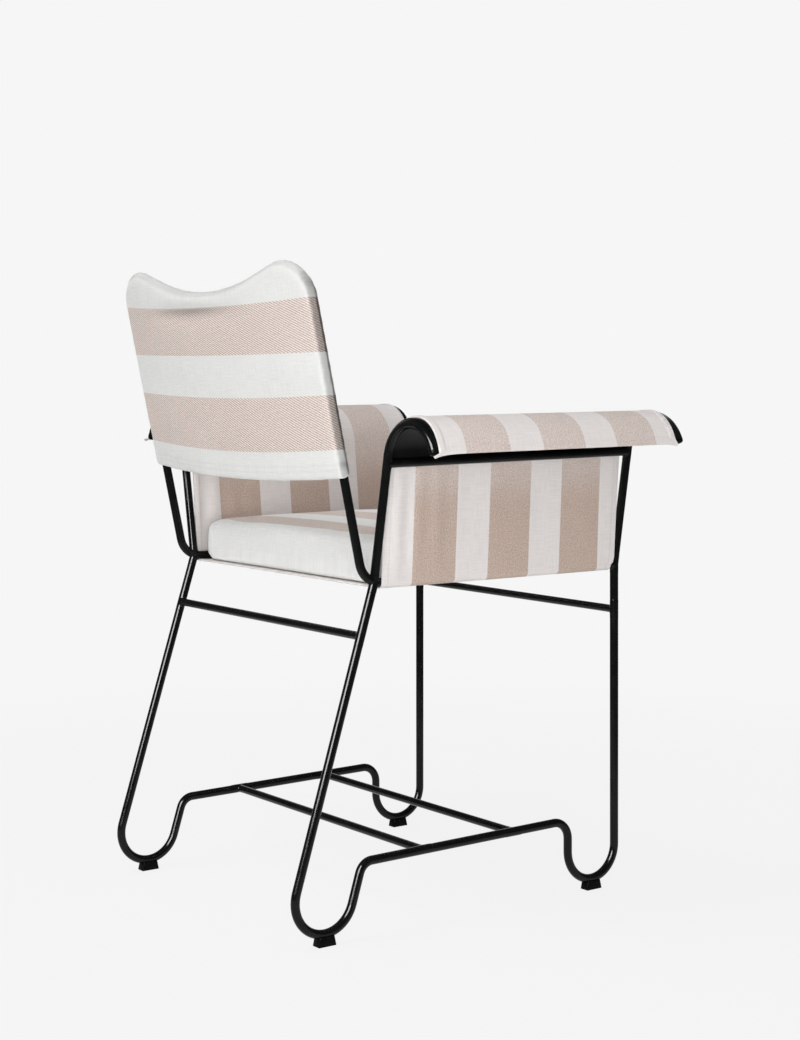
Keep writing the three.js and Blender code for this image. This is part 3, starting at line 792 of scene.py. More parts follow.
@dataclass
class ArmShells:
    """The curved steel shells that carry the arm slings, with a flange down to the arm rail."""

    plan: ChairPlan
    finish: "Finish"
    rods: RodWork
    overlap: float = 0.001
    inner_reach: float = 0.0066
    edge: float = 0.0003
    steps: int = 12

    def build(self) -> None:
        """Form both shells."""
        for side in Side:
            node = f"arm_shell_{side.label}"
            finish_piece(self._shell(side), f"{node}_sheet", self.finish, [node])

    def radius(self, y: float) -> float:
        """Radius to the middle of the shell's wall at a place along the arm."""
        return self.plan.scroll_radius(y) + self.plan.rod / 2 + self.plan.gap + self.plan.shell / 2

    def _shell(self, side: Side) -> bpy.types.Object:
        """Draw an arc out along the arm, widen it as it goes, and turn its inner edge down."""
        plan = self.plan
        rear, front = plan.seat_rear, plan.front_leg - self.overlap
        lean = float(plan.arm_lean(self.radius(rear), self.inner_reach))
        centre = plan.at(side.value * plan.arm_x, rear, plan.arm_z)
        deselect()
        bpy.ops.mesh.primitive_circle_add(
            vertices=360, radius=self.radius(rear), location=centre, rotation=(QUARTER, 0, 0)
        )
        shell = settle(bpy.context.object)

        def off_arc(co: Vector) -> bool:
            """Whether a place on the circle is past either end of the shell's arc."""
            angle = math.atan2(co.z - centre.z, side.value * (co.x - centre.x))
            return not plan.rear_tip - 1e-4 < angle <= math.pi - lean

        with editing(shell):
            select_verts(shell, off_arc)
            bpy.ops.mesh.delete(type="VERT")
            bpy.ops.mesh.select_all(action="SELECT")
            length = (front - rear) / self.steps
            for step in range(1, self.steps + 1):
                y = rear + length * step
                growth = self.radius(y) / self.radius(y - length)
                bpy.ops.mesh.extrude_region_move(TRANSFORM_OT_translate={"value": (0, length, 0)})
                here = plan.at(centre.x, y, plan.arm_z)
                bpy.ops.transform.resize(value=(growth, 1, growth), center_override=here)
        self._trim_outer_edge(shell, side)
        self._turn_down(shell, side)
        wall = shell.modifiers.new("Wall", "SOLIDIFY")
        wall.thickness = plan.shell
        wall.offset = 0
        edge = shell.modifiers.new("Edge", "BEVEL")
        edge.width = self.edge
        edge.segments = 2
        edge.limit_method = "ANGLE"
        edge.angle_limit = math.radians(60)
        apply_all(shell)
        with editing(shell):
            bpy.ops.mesh.select_all(action="SELECT")
            bpy.ops.mesh.normals_make_consistent(inside=False)
        return smooth(shell)

    def _edge_point(self, side: Side, y: float) -> Vector:
        """The shell's outer edge at a place along the arm."""
        plan, angle, radius = self.plan, self.plan.tip(y), self.radius(y)
        x = side.value * (plan.arm_x + radius * math.cos(angle))
        return plan.at(x, y, plan.arm_z + radius * math.sin(angle))

    def _trim_outer_edge(self, shell: bpy.types.Object, side: Side) -> None:
        """Cut the outer edge to a line that rises towards the front."""
        rear = self._edge_point(side, self.plan.seat_rear)
        front = self._edge_point(side, self.plan.front_leg)
        normal = (front - rear).cross(Vector((side.value, 0, 0))).normalized()
        if normal.z < 0:
            normal.negate()
        with editing(shell):
            bpy.ops.mesh.select_all(action="SELECT")
            bpy.ops.mesh.bisect(plane_co=rear - normal * 1e-5, plane_no=normal)
            plane = rear.dot(normal) - 3e-5
            middle = side.value * self.plan.arm_x
            select_verts(shell, lambda co: co.dot(normal) < plane and (co.x - middle) * side.value > 0)
            bpy.ops.mesh.delete(type="VERT")

    def _turn_down(self, shell: bpy.types.Object, side: Side) -> None:
        """Draw the inner edge down beside the arm rail."""
        plan = self.plan
        middle = side.value * plan.arm_x
        with editing(shell):
            bpy.ops.mesh.select_mode(type="EDGE")
            mesh = bmesh.from_edit_mesh(shell.data)
            inner = [
                edge
                for edge in mesh.edges
                if edge.is_boundary
                and abs(edge.verts[0].co.y - edge.verts[1].co.y) > 1e-4
                and all((vert.co.x - middle) * side.value < 0 for vert in edge.verts)
            ]
            for edge in inner:
                edge.select_set(True)
            bmesh.update_edit_mesh(shell.data)
            bpy.ops.mesh.extrude_region_move(TRANSFORM_OT_translate={"value": (0, 0, -0.002)})
            mesh = bmesh.from_edit_mesh(shell.data)
            rails = [corner.point for corner in self.rods.arm_rail(side)]
            for vert in mesh.verts:
                if vert.select:
                    share = (vert.co.y - rails[0].y) / (rails[1].y - rails[0].y)
                    rail = rails[0].lerp(rails[1], share)
                    vert.co.x = rail.x - side.value * (plan.arm_rail / 2 + plan.gap + plan.shell / 2)
                    vert.co.z = rail.z
            bmesh.update_edit_mesh(shell.data)


# Cloth


def cloth_mesh(
    name: str, middle: Array, normal: Array, half: Array, run: Array, shade: Array | None = None
) -> bpy.types.Object:
    """Sew two faces of cloth together over one grid.

    Args:
        name: The piece's name.
        middle: Places of the cloth's middle, rows by columns by 3.
        normal: Unit normals there.
        half: Half the cloth's thickness there. The border is sewn shut, whatever it says.
        run: Places on the flat cloth, rows by columns by 2, in metres, for the weave and the stripes.
        shade: Share of the cloth's colour that shows there, or None where it is written later.

    Returns:
        A closed piece with the flat places as its UV map.
    """
    rows, columns = half.shape
    half = half.copy()
    half[0], half[-1], half[:, 0], half[:, -1] = 0, 0, 0, 0
    front = (middle + normal * half[..., None]).reshape(-1, 3)
    back = (middle - normal * half[..., None]).reshape(-1, 3)
    index = np.arange(rows * columns).reshape(rows, columns)
    under = index + rows * columns
    border = np.zeros((rows, columns), bool)
    border[0], border[-1], border[:, 0], border[:, -1] = True, True, True, True
    under = np.where(border, index, under)
    quads_front = [index[:-1, :-1], index[:-1, 1:], index[1:, 1:], index[1:, :-1]]
    quads_back = [under[:-1, :-1], under[1:, :-1], under[1:, 1:], under[:-1, 1:]]
    faces = np.concatenate([np.stack(quads, -1).reshape(-1, 4) for quads in (quads_front, quads_back)])
    places = np.concatenate([front, back])
    flat = np.concatenate([run.reshape(-1, 2), run.reshape(-1, 2)])
    used, compact = np.unique(faces, return_inverse=True)
    compact = compact.reshape(-1, 4)
    mesh = bpy.data.meshes.new(name)
    mesh.from_pydata(places[used].tolist(), [], compact.tolist())
    layer = mesh.uv_layers.new(name=RUN_MAP)
    layer.data.foreach_set("uv", flat[used][compact.ravel()].astype(np.float32).ravel())
    piece = bpy.data.objects.new(name, mesh)
    bpy.context.collection.objects.link(piece)
    if shade is not None:
        write_shade(piece, np.concatenate([shade.ravel(), shade.ravel()])[used])
    with editing(piece):
        bpy.ops.mesh.select_all(action="SELECT")
        bpy.ops.mesh.normals_make_consistent(inside=False)
    pick(piece)
    bpy.ops.object.shade_smooth()
    return piece


def hem_half(distance: Array, cloth: float, seam: float) -> Array:
    """Half the thickness of hemmed cloth by the distance from its edge.

    Args:
        distance: How far inside the edge, in metres.
        cloth: Half the thickness of the single cloth.
        seam: How far in the line of stitches is.

    Returns:
        Half thicknesses: a rounded edge, doubled cloth out to the stitches, and the stitches' groove.
    """
    doubled = cloth * 1.5
    body = mix(doubled, cloth, ease(distance, seam + 0.0002, seam + 0.0012))
    body -= 0.4 * cloth * bell(distance, seam, 0.0006)
    return body * quarter_round(distance / doubled)


def stations(length: float, spacing: float, seam: float, far_hem: bool = True) -> Array:
    """Places along a length of cloth: even, but close together at its hems.

    Args:
        length: The whole length.
        spacing: The usual distance between places.
        seam: How far in a hem's stitches are.
        far_hem: Whether the far end has a hem as well as the near one.

    Returns:
        Places from 0 to length.
    """
    edge = np.array([0, 0.05, 0.15, 0.35, 0.65, 1.0, 1.5, 2.4, 4.0, 6.0]) * MM
    edge = np.concatenate([edge, seam + np.array([-1.2, -0.7, -0.35, 0, 0.35, 0.7, 1.2, 2.4]) * MM])
    end = length - edge[::-1] if far_hem else np.array([length])
    count = max(2, math.ceil((end[0] - edge[-1]) / spacing))
    return np.concatenate([edge, np.linspace(edge[-1], end[0], count + 1)[1:-1], end])


@dataclass(frozen=True)
class Fold:
    """Soft upright waves in hanging cloth, with their length, start and depth."""

    length: float
    phase: float
    depth: float

    def wave(self, along: Array) -> Array:
        """How far the cloth stands out at places along it."""
        return np.sin(along * 2 * math.pi / self.length + self.phase) * self.depth


@dataclass(frozen=True)
class SlingRows:
    """Rows of the sling from one outer hem to its middle under the seat, as sections of the cloth.

    Every array has one row for each row of cloth. The places and normals have its columns too.
    """

    down: Array
    place: Array
    out: Array
    fall: Array


@dataclass
class Slings:
    """One striped cloth: over one arm, under both side rails and up over the other arm."""

    plan: ChairPlan
    finish: "Finish"
    rear_inset: float = 0.0065
    front_inset: float = 0.007
    hem_inset: tuple[float, float] = (0.0046, 0.0074)
    hem_pulls: tuple[float, float] = (0.0055, 0.0065)
    hem_pull_height: float = 0.075
    lobe_drops: tuple[float, float] = (0.0045, 0.003)
    lobe_fades: tuple[float, float] = (0.012, 0.008)
    lobe_reach: tuple[float, float] = (0.009, 0.0025)
    lobe_heights: tuple[tuple[float, float], ...] = ((0.0026, 0.0056), (0.003, 0.008))
    lobe_round: tuple[float, float] = (0.003, 0.004)
    corner_rise: float = 0.012
    corner_draw: float = 0.0055
    seam: float = 0.009
    stitch_shade: float = 0.10
    stitch_width: float = 0.0009
    stripe_places: tuple[float, ...] = (0, 0.035, 0.075, 0.13, 0.16, 0.31, 0.33)
    stripe_drift: tuple[float, ...] = (-0.0085, -0.004, -0.003, -0.001, 0.0, 0.0035, 0.0035)
    rear_fold: Fold = Fold(0.030, 0.6, 0.0022)
    rear_fold_fade: float = 0.055
    wide_folds: tuple[Fold, ...] = (Fold(0.117, 1.1, 0.0007), Fold(0.049, 2.3, 0.0002))
    spacing: float = 0.0035
    seat_spacing: float = 0.012

    def build(self) -> None:
        """Hang the sling on the frame."""
        plan = self.plan
        rear, front = plan.seat_rear - self.rear_inset, plan.front_leg + self.front_inset
        width = rear - front
        share = stations(width, self.spacing, self.seam) / width
        half = self._half(mix(rear, front, share))
        middle, normal = half.place.copy(), half.out.copy()
        middle[..., 1] = self._columns(half, share, rear, front)
        middle += normal * self._folds(half.fall, share * width)[..., None]
        across = middle[:, :1, 1] - middle[..., 1]
        ends = np.minimum(across, across[:, -1:] - across)
        inside = np.minimum(half.down[:, None], ends)
        thickness = hem_half(inside, plan.cloth / 2, self.seam)
        shade = 1 - self.stitch_shade * bell(ends, self.seam, self.stitch_width)
        middle += normal * (thickness - plan.cloth / 2)[..., None].clip(0)
        stripes = np.interp(half.down, self.stripe_places, self.stripe_drift)
        flat = np.stack(np.broadcast_arrays(half.down[:, None], middle[..., 1] + stripes[:, None]), -1)
        middle[..., 1] += plan.shift
        mirror = np.array([-1, 1, 1])
        whole = [np.concatenate([part * mirror, part[-2::-1]]) for part in (middle, normal)]
        thickness, shade = (np.concatenate([part, part[-2::-1]]) for part in (thickness, shade))
        length = 2 * float(half.down[-1])
        other = flat[-2::-1].copy()
        other[..., 0] = length - other[..., 0]
        piece = cloth_mesh("sling_cloth", *whole, thickness, np.concatenate([flat, other]), shade)
        nodes = ["arm_sling_right", "arm_sling_left", "seat_sling"]
        finish_piece(piece, "sling_cloth", self.finish, nodes)

    def _half(self, along: Array) -> SlingRows:
        """Sections of the cloth from an outer hem to the middle of the seat, on the left side.

        Args:
            along: Y of each column where the cloth is not drawn in.

        Returns:
            The rows.
        """
        plan = self.plan
        sleeve = plan.rod / 2 + plan.gap + plan.cloth / 2
        radius = plan.scroll_radius(along) + plan.rod / 2 + 2 * plan.gap + plan.shell + plan.cloth / 2
        lean = plan.arm_lean(radius, sleeve)
        ends = (along[0] - along, along - along[-1])
        rows = zip(self.lobe_drops, ends, self.lobe_fades)
        lobes = sum(drop * np.exp(-end / fade) for drop, end, fade in rows)
        hem = plan.tip(along) - (mix(*self.hem_inset, plan.forward(along)) + lobes) / radius
        arch_end = math.pi - lean
        leave = np.stack([plan.arm_x + radius * np.cos(arch_end), plan.arm_z + radius * np.sin(arch_end)], -1)
        meet_x = plan.half_width + sleeve * np.cos(lean)
        meet_z = plan.seat_height - sleeve * np.sin(lean)
        meet = np.stack([meet_x, meet_z], -1)
        arch = float(np.mean(radius * (arch_end - hem)))
        fall = float(np.mean(np.linalg.norm(leave - meet, axis=-1)))
        wrap = float(np.mean(sleeve * (QUARTER - lean)))
        hung = stations(arch + fall, self.spacing, self.seam, far_hem=False)
        turned = arch + fall + np.linspace(0, wrap, 9)[1:]
        seat_count = round(plan.half_width / self.seat_spacing)
        seat = arch + fall + wrap + np.linspace(0, plan.half_width, seat_count + 1)[1:]
        down = np.concatenate([hung, turned, seat])
        place = np.zeros((len(down), len(along), 3))
        out = np.zeros_like(place)
        for row, distance in enumerate(down):
            if distance <= arch:
                angle = mix(hem, arch_end, distance / arch)
                way = np.stack([np.cos(angle), np.sin(angle)], -1)
                spot = np.array([plan.arm_x, plan.arm_z]) + way * radius[:, None]
            elif distance <= arch + fall:
                way = np.stack([-np.cos(lean), np.sin(lean)], -1)
                spot = mix(leave, meet, (distance - arch) / fall)
            elif distance <= arch + fall + wrap + MM * 0.001:
                angle = mix(-lean, -QUARTER, (distance - arch - fall) / wrap)
                way = -np.stack([np.cos(angle), np.sin(angle)], -1)
                spot = np.array([plan.half_width, plan.seat_height]) - way * sleeve
            else:
                x = plan.half_width - (distance - arch - fall - wrap)
                way, spot = np.array([0.0, 1.0]), np.array([x, plan.seat_height - sleeve])
            place[row][:, [0, 2]], out[row][:, [0, 2]] = spot, way
        return SlingRows(down, place, out, np.clip((down - arch) / fall, 0, 1))

    def _columns(self, half: SlingRows, share: Array, rear: float, front: float) -> Array:
        """Y of every place on the cloth, between its two drawn edges.

        Args:
            half: The rows.
            share: Each column's place between the edges, from 0 at the rear.
            rear: Y of the rear edge where it is not drawn.
            front: Y of the front edge where it is not drawn.

        Returns:
            Y, rows by columns.
        """
        down = half.down
        pull = 1 - ease(down, 0, self.hem_pull_height)
        tuck = self.lobe_round[0] * (1 - quarter_round(down / self.lobe_round[1]))
        rear_lobe, front_lobe = (
            reach * (1 - ease(down, *heights)) - tuck
            for reach, heights in zip(self.lobe_reach, self.lobe_heights)
        )
        height = (half.place[:, -1, 2] - self.plan.seat_height) / self.corner_rise
        corner = self.corner_draw * np.where(half.fall > 0, 1 - quarter_round(height), 0)
        rear_edge = rear + self.hem_pulls[0] * pull + rear_lobe
        front_edge = front + self.hem_pulls[1] * pull + corner - front_lobe
        return mix(rear_edge[:, None], front_edge[:, None], share[None, :])

    def _folds(self, fall: Array, behind: Array) -> Array:
        """Soft upright folds in the hanging part of the sling.

        Args:
            fall: How far down the hanging part each row is, from 0 to 1.
            behind: How far each column is from the rear edge, in metres.

        Returns:
            How far the cloth stands out, rows by columns.
        """
        hang = np.sin(np.clip(fall, 0, 1) * math.pi) ** 0.8
        near = np.exp(-behind / self.rear_fold_fade) * self.rear_fold.wave(behind)
        wide = sum(fold.wave(behind) for fold in self.wide_folds)
        drift = np.sin(fall * 2.1 + 0.4)[:, None]
        return hang[:, None] * (near[None, :] + wide[None, :] * (0.8 + 0.2 * drift))


@dataclass
class Padding:
    """How padding is blown up in its cover by a cloth simulation."""

    voxel: float = 0.005
    pressure: float = 4.0
    cap: float = 0.006
    frames: int = 20
    stiffness: float = 15.0

    def remesh(self, piece: bpy.types.Object) -> None:
        """Cover a piece evenly with small faces.

        Args:
            piece: The piece to cover.
        """
        remesh = piece.modifiers.new("Remesh", "REMESH")
        remesh.mode = "VOXEL"
        remesh.voxel_size = self.voxel
        flow = piece.modifiers.new("Flow", "SMOOTH")
        flow.factor = 0.5
        flow.iterations = 3
        apply_all(piece)

    def blow_up(self, piece: bpy.types.Object, hold: Callable[[Array], Array]) -> None:
        """Let pressure swell a piece's cover, no further than the cap.

        Args:
            piece: The padded piece, evenly meshed.
            hold: Takes the places and gives how firmly each is held, from 0 to 1.
        """
        mesh = piece.data
        count = len(mesh.vertices)
        start = np.empty(count * 3, np.float32)
        mesh.vertices.foreach_get("co", start)
        start = start.reshape(-1, 3)
        held = np.clip(hold(start), 0, 1)
        group = piece.vertex_groups.new(name="held")
        for index in np.flatnonzero(held > 0.01):
            group.add([int(index)], float(held[index]), "REPLACE")
        cloth = piece.modifiers.new("Cloth", "CLOTH")
        settings = cloth.settings
        settings.quality = 5
        settings.mass = 0.3
        settings.tension_stiffness = self.stiffness
        settings.compression_stiffness = self.stiffness
        settings.shear_stiffness = 5
        settings.bending_stiffness = 0.5
        settings.use_pressure = True
        settings.uniform_pressure_force = self.pressure
        settings.vertex_group_mass = group.name
        settings.pin_stiffness = 1
        settings.effector_weights.gravity = 0
        scene = bpy.context.scene
        for number in range(1, self.frames + 1):
            scene.frame_set(number)
        evaluated = piece.evaluated_get(bpy.context.evaluated_depsgraph_get())
        moved = np.empty(count * 3, np.float32)
        evaluated.data.vertices.foreach_get("co", moved)
        piece.modifiers.remove(cloth)
        scene.frame_set(1)
        shift = moved.reshape(-1, 3) - start
        length = np.linalg.norm(shift, axis=1, keepdims=True)
        shift *= np.minimum(1, self.cap / np.maximum(length, 1e-9))
        mesh.vertices.foreach_set("co", (start + shift).ravel())
        mesh.update()
        piece.vertex_groups.remove(group)

    def round_off(self, piece: bpy.types.Object) -> None:
        """Subdivide a piece's cover once and shade it smooth."""
        finer = piece.modifiers.new("Finer", "SUBSURF")
        finer.levels = finer.render_levels = 1
        apply_all(piece)
        bpy.ops.object.shade_smooth()


def read_places(piece: bpy.types.Object) -> Array:
    """The places of a piece's vertices, as an array of rows."""
    places = np.empty(len(piece.data.vertices) * 3, np.float32)
    piece.data.vertices.foreach_get("co", places)
    return places.reshape(-1, 3).astype(float)


def write_places(piece: bpy.types.Object, places: Array) -> None:
    """Move a piece's vertices to an array of places."""
    piece.data.vertices.foreach_set("co", places.astype(np.float32).ravel())
    piece.data.update()


def read_normals(piece: bpy.types.Object) -> Array:
    """The normals at a piece's vertices, as an array of rows."""
    normals = np.empty(len(piece.data.vertices) * 3, np.float32)
    piece.data.vertices.foreach_get("normal", normals)
    return normals.reshape(-1, 3).astype(float)


def write_shade(piece: bpy.types.Object, shade: Array) -> None:
    """Write how much of the cloth's colour shows at each vertex: less along stitch lines, and less where
    painted shade lies on the cover's sides, rim, crease and gathers.
    """
    layer = piece.data.attributes.new(SHADE, "FLOAT", "POINT")
    layer.data.foreach_set("value", shade.astype(np.float32).ravel())


def write_run(piece: bpy.types.Object, flat: Callable[[Array, Array], Array]) -> None:
    """Write a piece's UV map from its places and normals.

    Args:
        piece: The piece to map.
        flat: Takes places and normals, one row a corner, and gives places on the flat cloth.
    """
    mesh = piece.data
    corners = np.empty(len(mesh.loops), np.int32)
    mesh.loops.foreach_get("vertex_index", corners)
    places = read_places(piece)[corners]
    normals = np.empty(len(mesh.polygons) * 3, np.float32)
    mesh.polygons.foreach_get("normal", normals)
    totals = np.empty(len(mesh.polygons), np.int32)
    mesh.polygons.foreach_get("loop_total", totals)
    normals = np.repeat(normals.reshape(-1, 3), totals, axis=0)
    for layer in list(mesh.uv_layers):
        mesh.uv_layers.remove(layer)
    layer = mesh.uv_layers.new(name=RUN_MAP)
    layer.data.foreach_set("uv", flat(places, normals).astype(np.float32).ravel())


@dataclass
class SeatCushion:
    """The loose seat cushion: crowned, with soft edges and sides that draw in."""

    plan: ChairPlan
    finish: "Finish"
    half_width: float = 0.203
    rear_inset: float = 0.0066
    front_inset: float = 0.008
    edge_height: float = 0.056
    corner: float = 0.013
    edge: float = 0.011
    crown: float = 0.007
    end_drop: float = 0.0045
    draw: float = 0.003
    swell: float = 0.001
    stripe_places: tuple[float, ...] = (-0.022, 0.0, 0.036, 0.086, 0.1525, 0.3525)
    stripe_runs: tuple[float, ...] = (-0.022, 0.0, 0.0665, 0.117, 0.1835, 0.3835)
    seam_inset: float = 0.022
    seam_slope: float = 0.025
    rear_run: float = -0.04
    padding: Padding = field(default_factory=lambda: Padding(voxel=0.006, pressure=4, cap=0.004))

    @property
    def base(self) -> float:
        """Height of the cushion's underside."""
        return self.plan.seat_height - self.plan.rod / 2

    @property
    def rear(self) -> float:
        """Y of the cushion's rear face, in the chair's frame."""
        return self.plan.seat_rear - self.rear_inset + self.plan.shift

    @property
    def front(self) -> float:
        """Y of the cushion's front face, in the chair's frame."""
        return self.plan.front_leg + self.front_inset + self.plan.shift

    def build(self) -> None:
        """Shape the cushion, blow it up and dress it."""
        deselect()
        middle, depth = (self.rear + self.front) / 2, self.rear - self.front
        bpy.ops.mesh.primitive_cube_add(size=1, location=(0, middle, self.base + self.edge_height / 2))
        cushion = bpy.context.object
        cushion.scale = (2 * self.half_width, depth, self.edge_height)
        settle(cushion)
        with editing(cushion):
            select_edges(cushion, lambda edge: abs(edge.verts[0].co.z - edge.verts[1].co.z) > 1e-3)
            bpy.ops.mesh.bevel(offset=self.corner, segments=12, affect="EDGES")
            select_edges(cushion, lambda edge: abs(edge.verts[0].co.z - edge.verts[1].co.z) < 1e-5)
            bpy.ops.mesh.bevel(offset=self.edge, segments=5, affect="EDGES")
        self.padding.remesh(cushion)
        write_places(cushion, self._shaped(read_places(cushion)))
        self.padding.blow_up(cushion, self._held)
        self.padding.round_off(cushion)
        write_run(cushion, self._flat)
        write_shade(cushion, np.ones(len(cushion.data.vertices)))
        finish_piece(cushion, "seat_cushion_pad", self.finish, ["seat_cushion"])

    def _shaped(self, places: Array) -> Array:
        """Crown the top, draw the sides in and let them swell between their edges."""
        places = places.copy()
        middle, depth = (self.rear + self.front) / 2, self.rear - self.front
        across = np.clip(places[:, 0] / self.half_width, -1, 1)
        back = np.clip((places[:, 1] - middle) / (depth / 2), -1, 1)
        height = np.clip((places[:, 2] - self.base) / self.edge_height, 0, 1)
        dome = np.cos(across * QUARTER) ** 0.7 * np.cos(back * QUARTER) ** 0.7
        places[:, 2] += (self.crown * dome - self.end_drop * across**4) * ease(height, 0.4, 1.0)
        belly = self.swell * np.sin(height * math.pi)
        for axis, share, other in ((0, across, back), (1, back, across)):
            face = ease(np.abs(share), 0.9, 1.0)
            places[:, axis] += np.sign(share) * face * (belly - self.draw * np.cos(other * QUARTER))
        return places

    def _held(self, places: Array) -> Array:
        """Hold the underside where it rests on the sling."""
        return 1 - ease(places[:, 2], self.base + 0.001, self.base + 0.006)

    def _flat(self, places: Array, normals: Array) -> Array:
        """Places on the flat cloth: white on the rear face, then over the top and down the front."""
        x, y, z = places.T
        top = self.base + self.edge_height - self.edge
        drop = np.clip(top - z, 0, None)
        end = np.abs(normals[:, 1]) > np.abs(normals[:, 0])
        behind = np.clip(self.rear - y, 0, None) - self.seam_inset + self.seam_slope * x
        run = np.interp(behind, self.stripe_places, self.stripe_runs)
        run = np.where(end & (y > 0), np.maximum(run - drop, self.rear_run), run)
        run = np.where(end & (y < 0), run + drop, run)
        side = ~end & (np.abs(normals[:, 2]) < 0.6)
        return np.stack([np.where(side, x + np.sign(x) * drop, x), run], -1)


@dataclass
class CoverShape:
    """The outline and section of the back cover."""

    plan: ChairPlan
    half_width: float = 0.2244
    peak_rise: float = 0.3844
    bottom_rise: float = 0.127
    corner: float = 0.051
    wave_lean: float = math.radians(16.63)
    straight_share: float = 0.244
    dip: float = 0.010
    thickness: float = 0.018
    bow: float = 0.013
    setback: float = 0.0015
    edge: float = 0.009
    bar_inset: float = 0.009

    @property
    def corner_x(self) -> float:
        """X of a top corner's centre."""
        return self.half_width - self.corner

    @property
    def corner_z(self) -> float:
        """Height of a top corner's centre."""
        return self.plan.seat_height + self.peak_rise - self.corner

    def wave_base(self) -> float:
        """Height at mid-width of the sloping top, were it not rounded into the valley."""
        rise = self.corner / math.cos(self.wave_lean)
        return self.corner_z + rise - self.corner_x * math.tan(self.wave_lean)

    def valley_radius(self) -> float:
        """Radius of the valley in the top edge."""
        return self.corner_x * (1 - self.straight_share) / math.sin(self.wave_lean) - self.corner

    def top(self, x: Array) -> Array:
        """Height of the top edge."""
        across = np.abs(x)
        radius = self.valley_radius()
        valley = self.wave_base() + radius / math.cos(self.wave_lean)
        valley = valley - np.sqrt(np.clip(radius**2 - across**2, 0, None))
        slope = self.wave_base() + math.tan(self.wave_lean) * across
        beyond = np.clip(across - self.corner_x, None, self.corner)
        corner = self.corner_z + np.sqrt(np.clip(self.corner**2 - beyond**2, 0, None))
        height = np.where(across < radius * math.sin(self.wave_lean), valley, slope)
        return np.where(across > self.corner_x - self.corner * math.sin(self.wave_lean), corner, height)

    def bottom(self, x: Array) -> Array:
        """Height of the bottom edge."""
        return self.plan.seat_height + self.bottom_rise - self.dip * (1 - (x / self.half_width) ** 2)

    def middle(self, x: Array, z: Array) -> Array:
        """Y of the cover's middle, bowed to the rear between its sides."""
        bowed = self.setback + self.bow * (1 - (x / self.half_width) ** 2)
        return self.plan.back_plane(z) + bowed + self.plan.shift


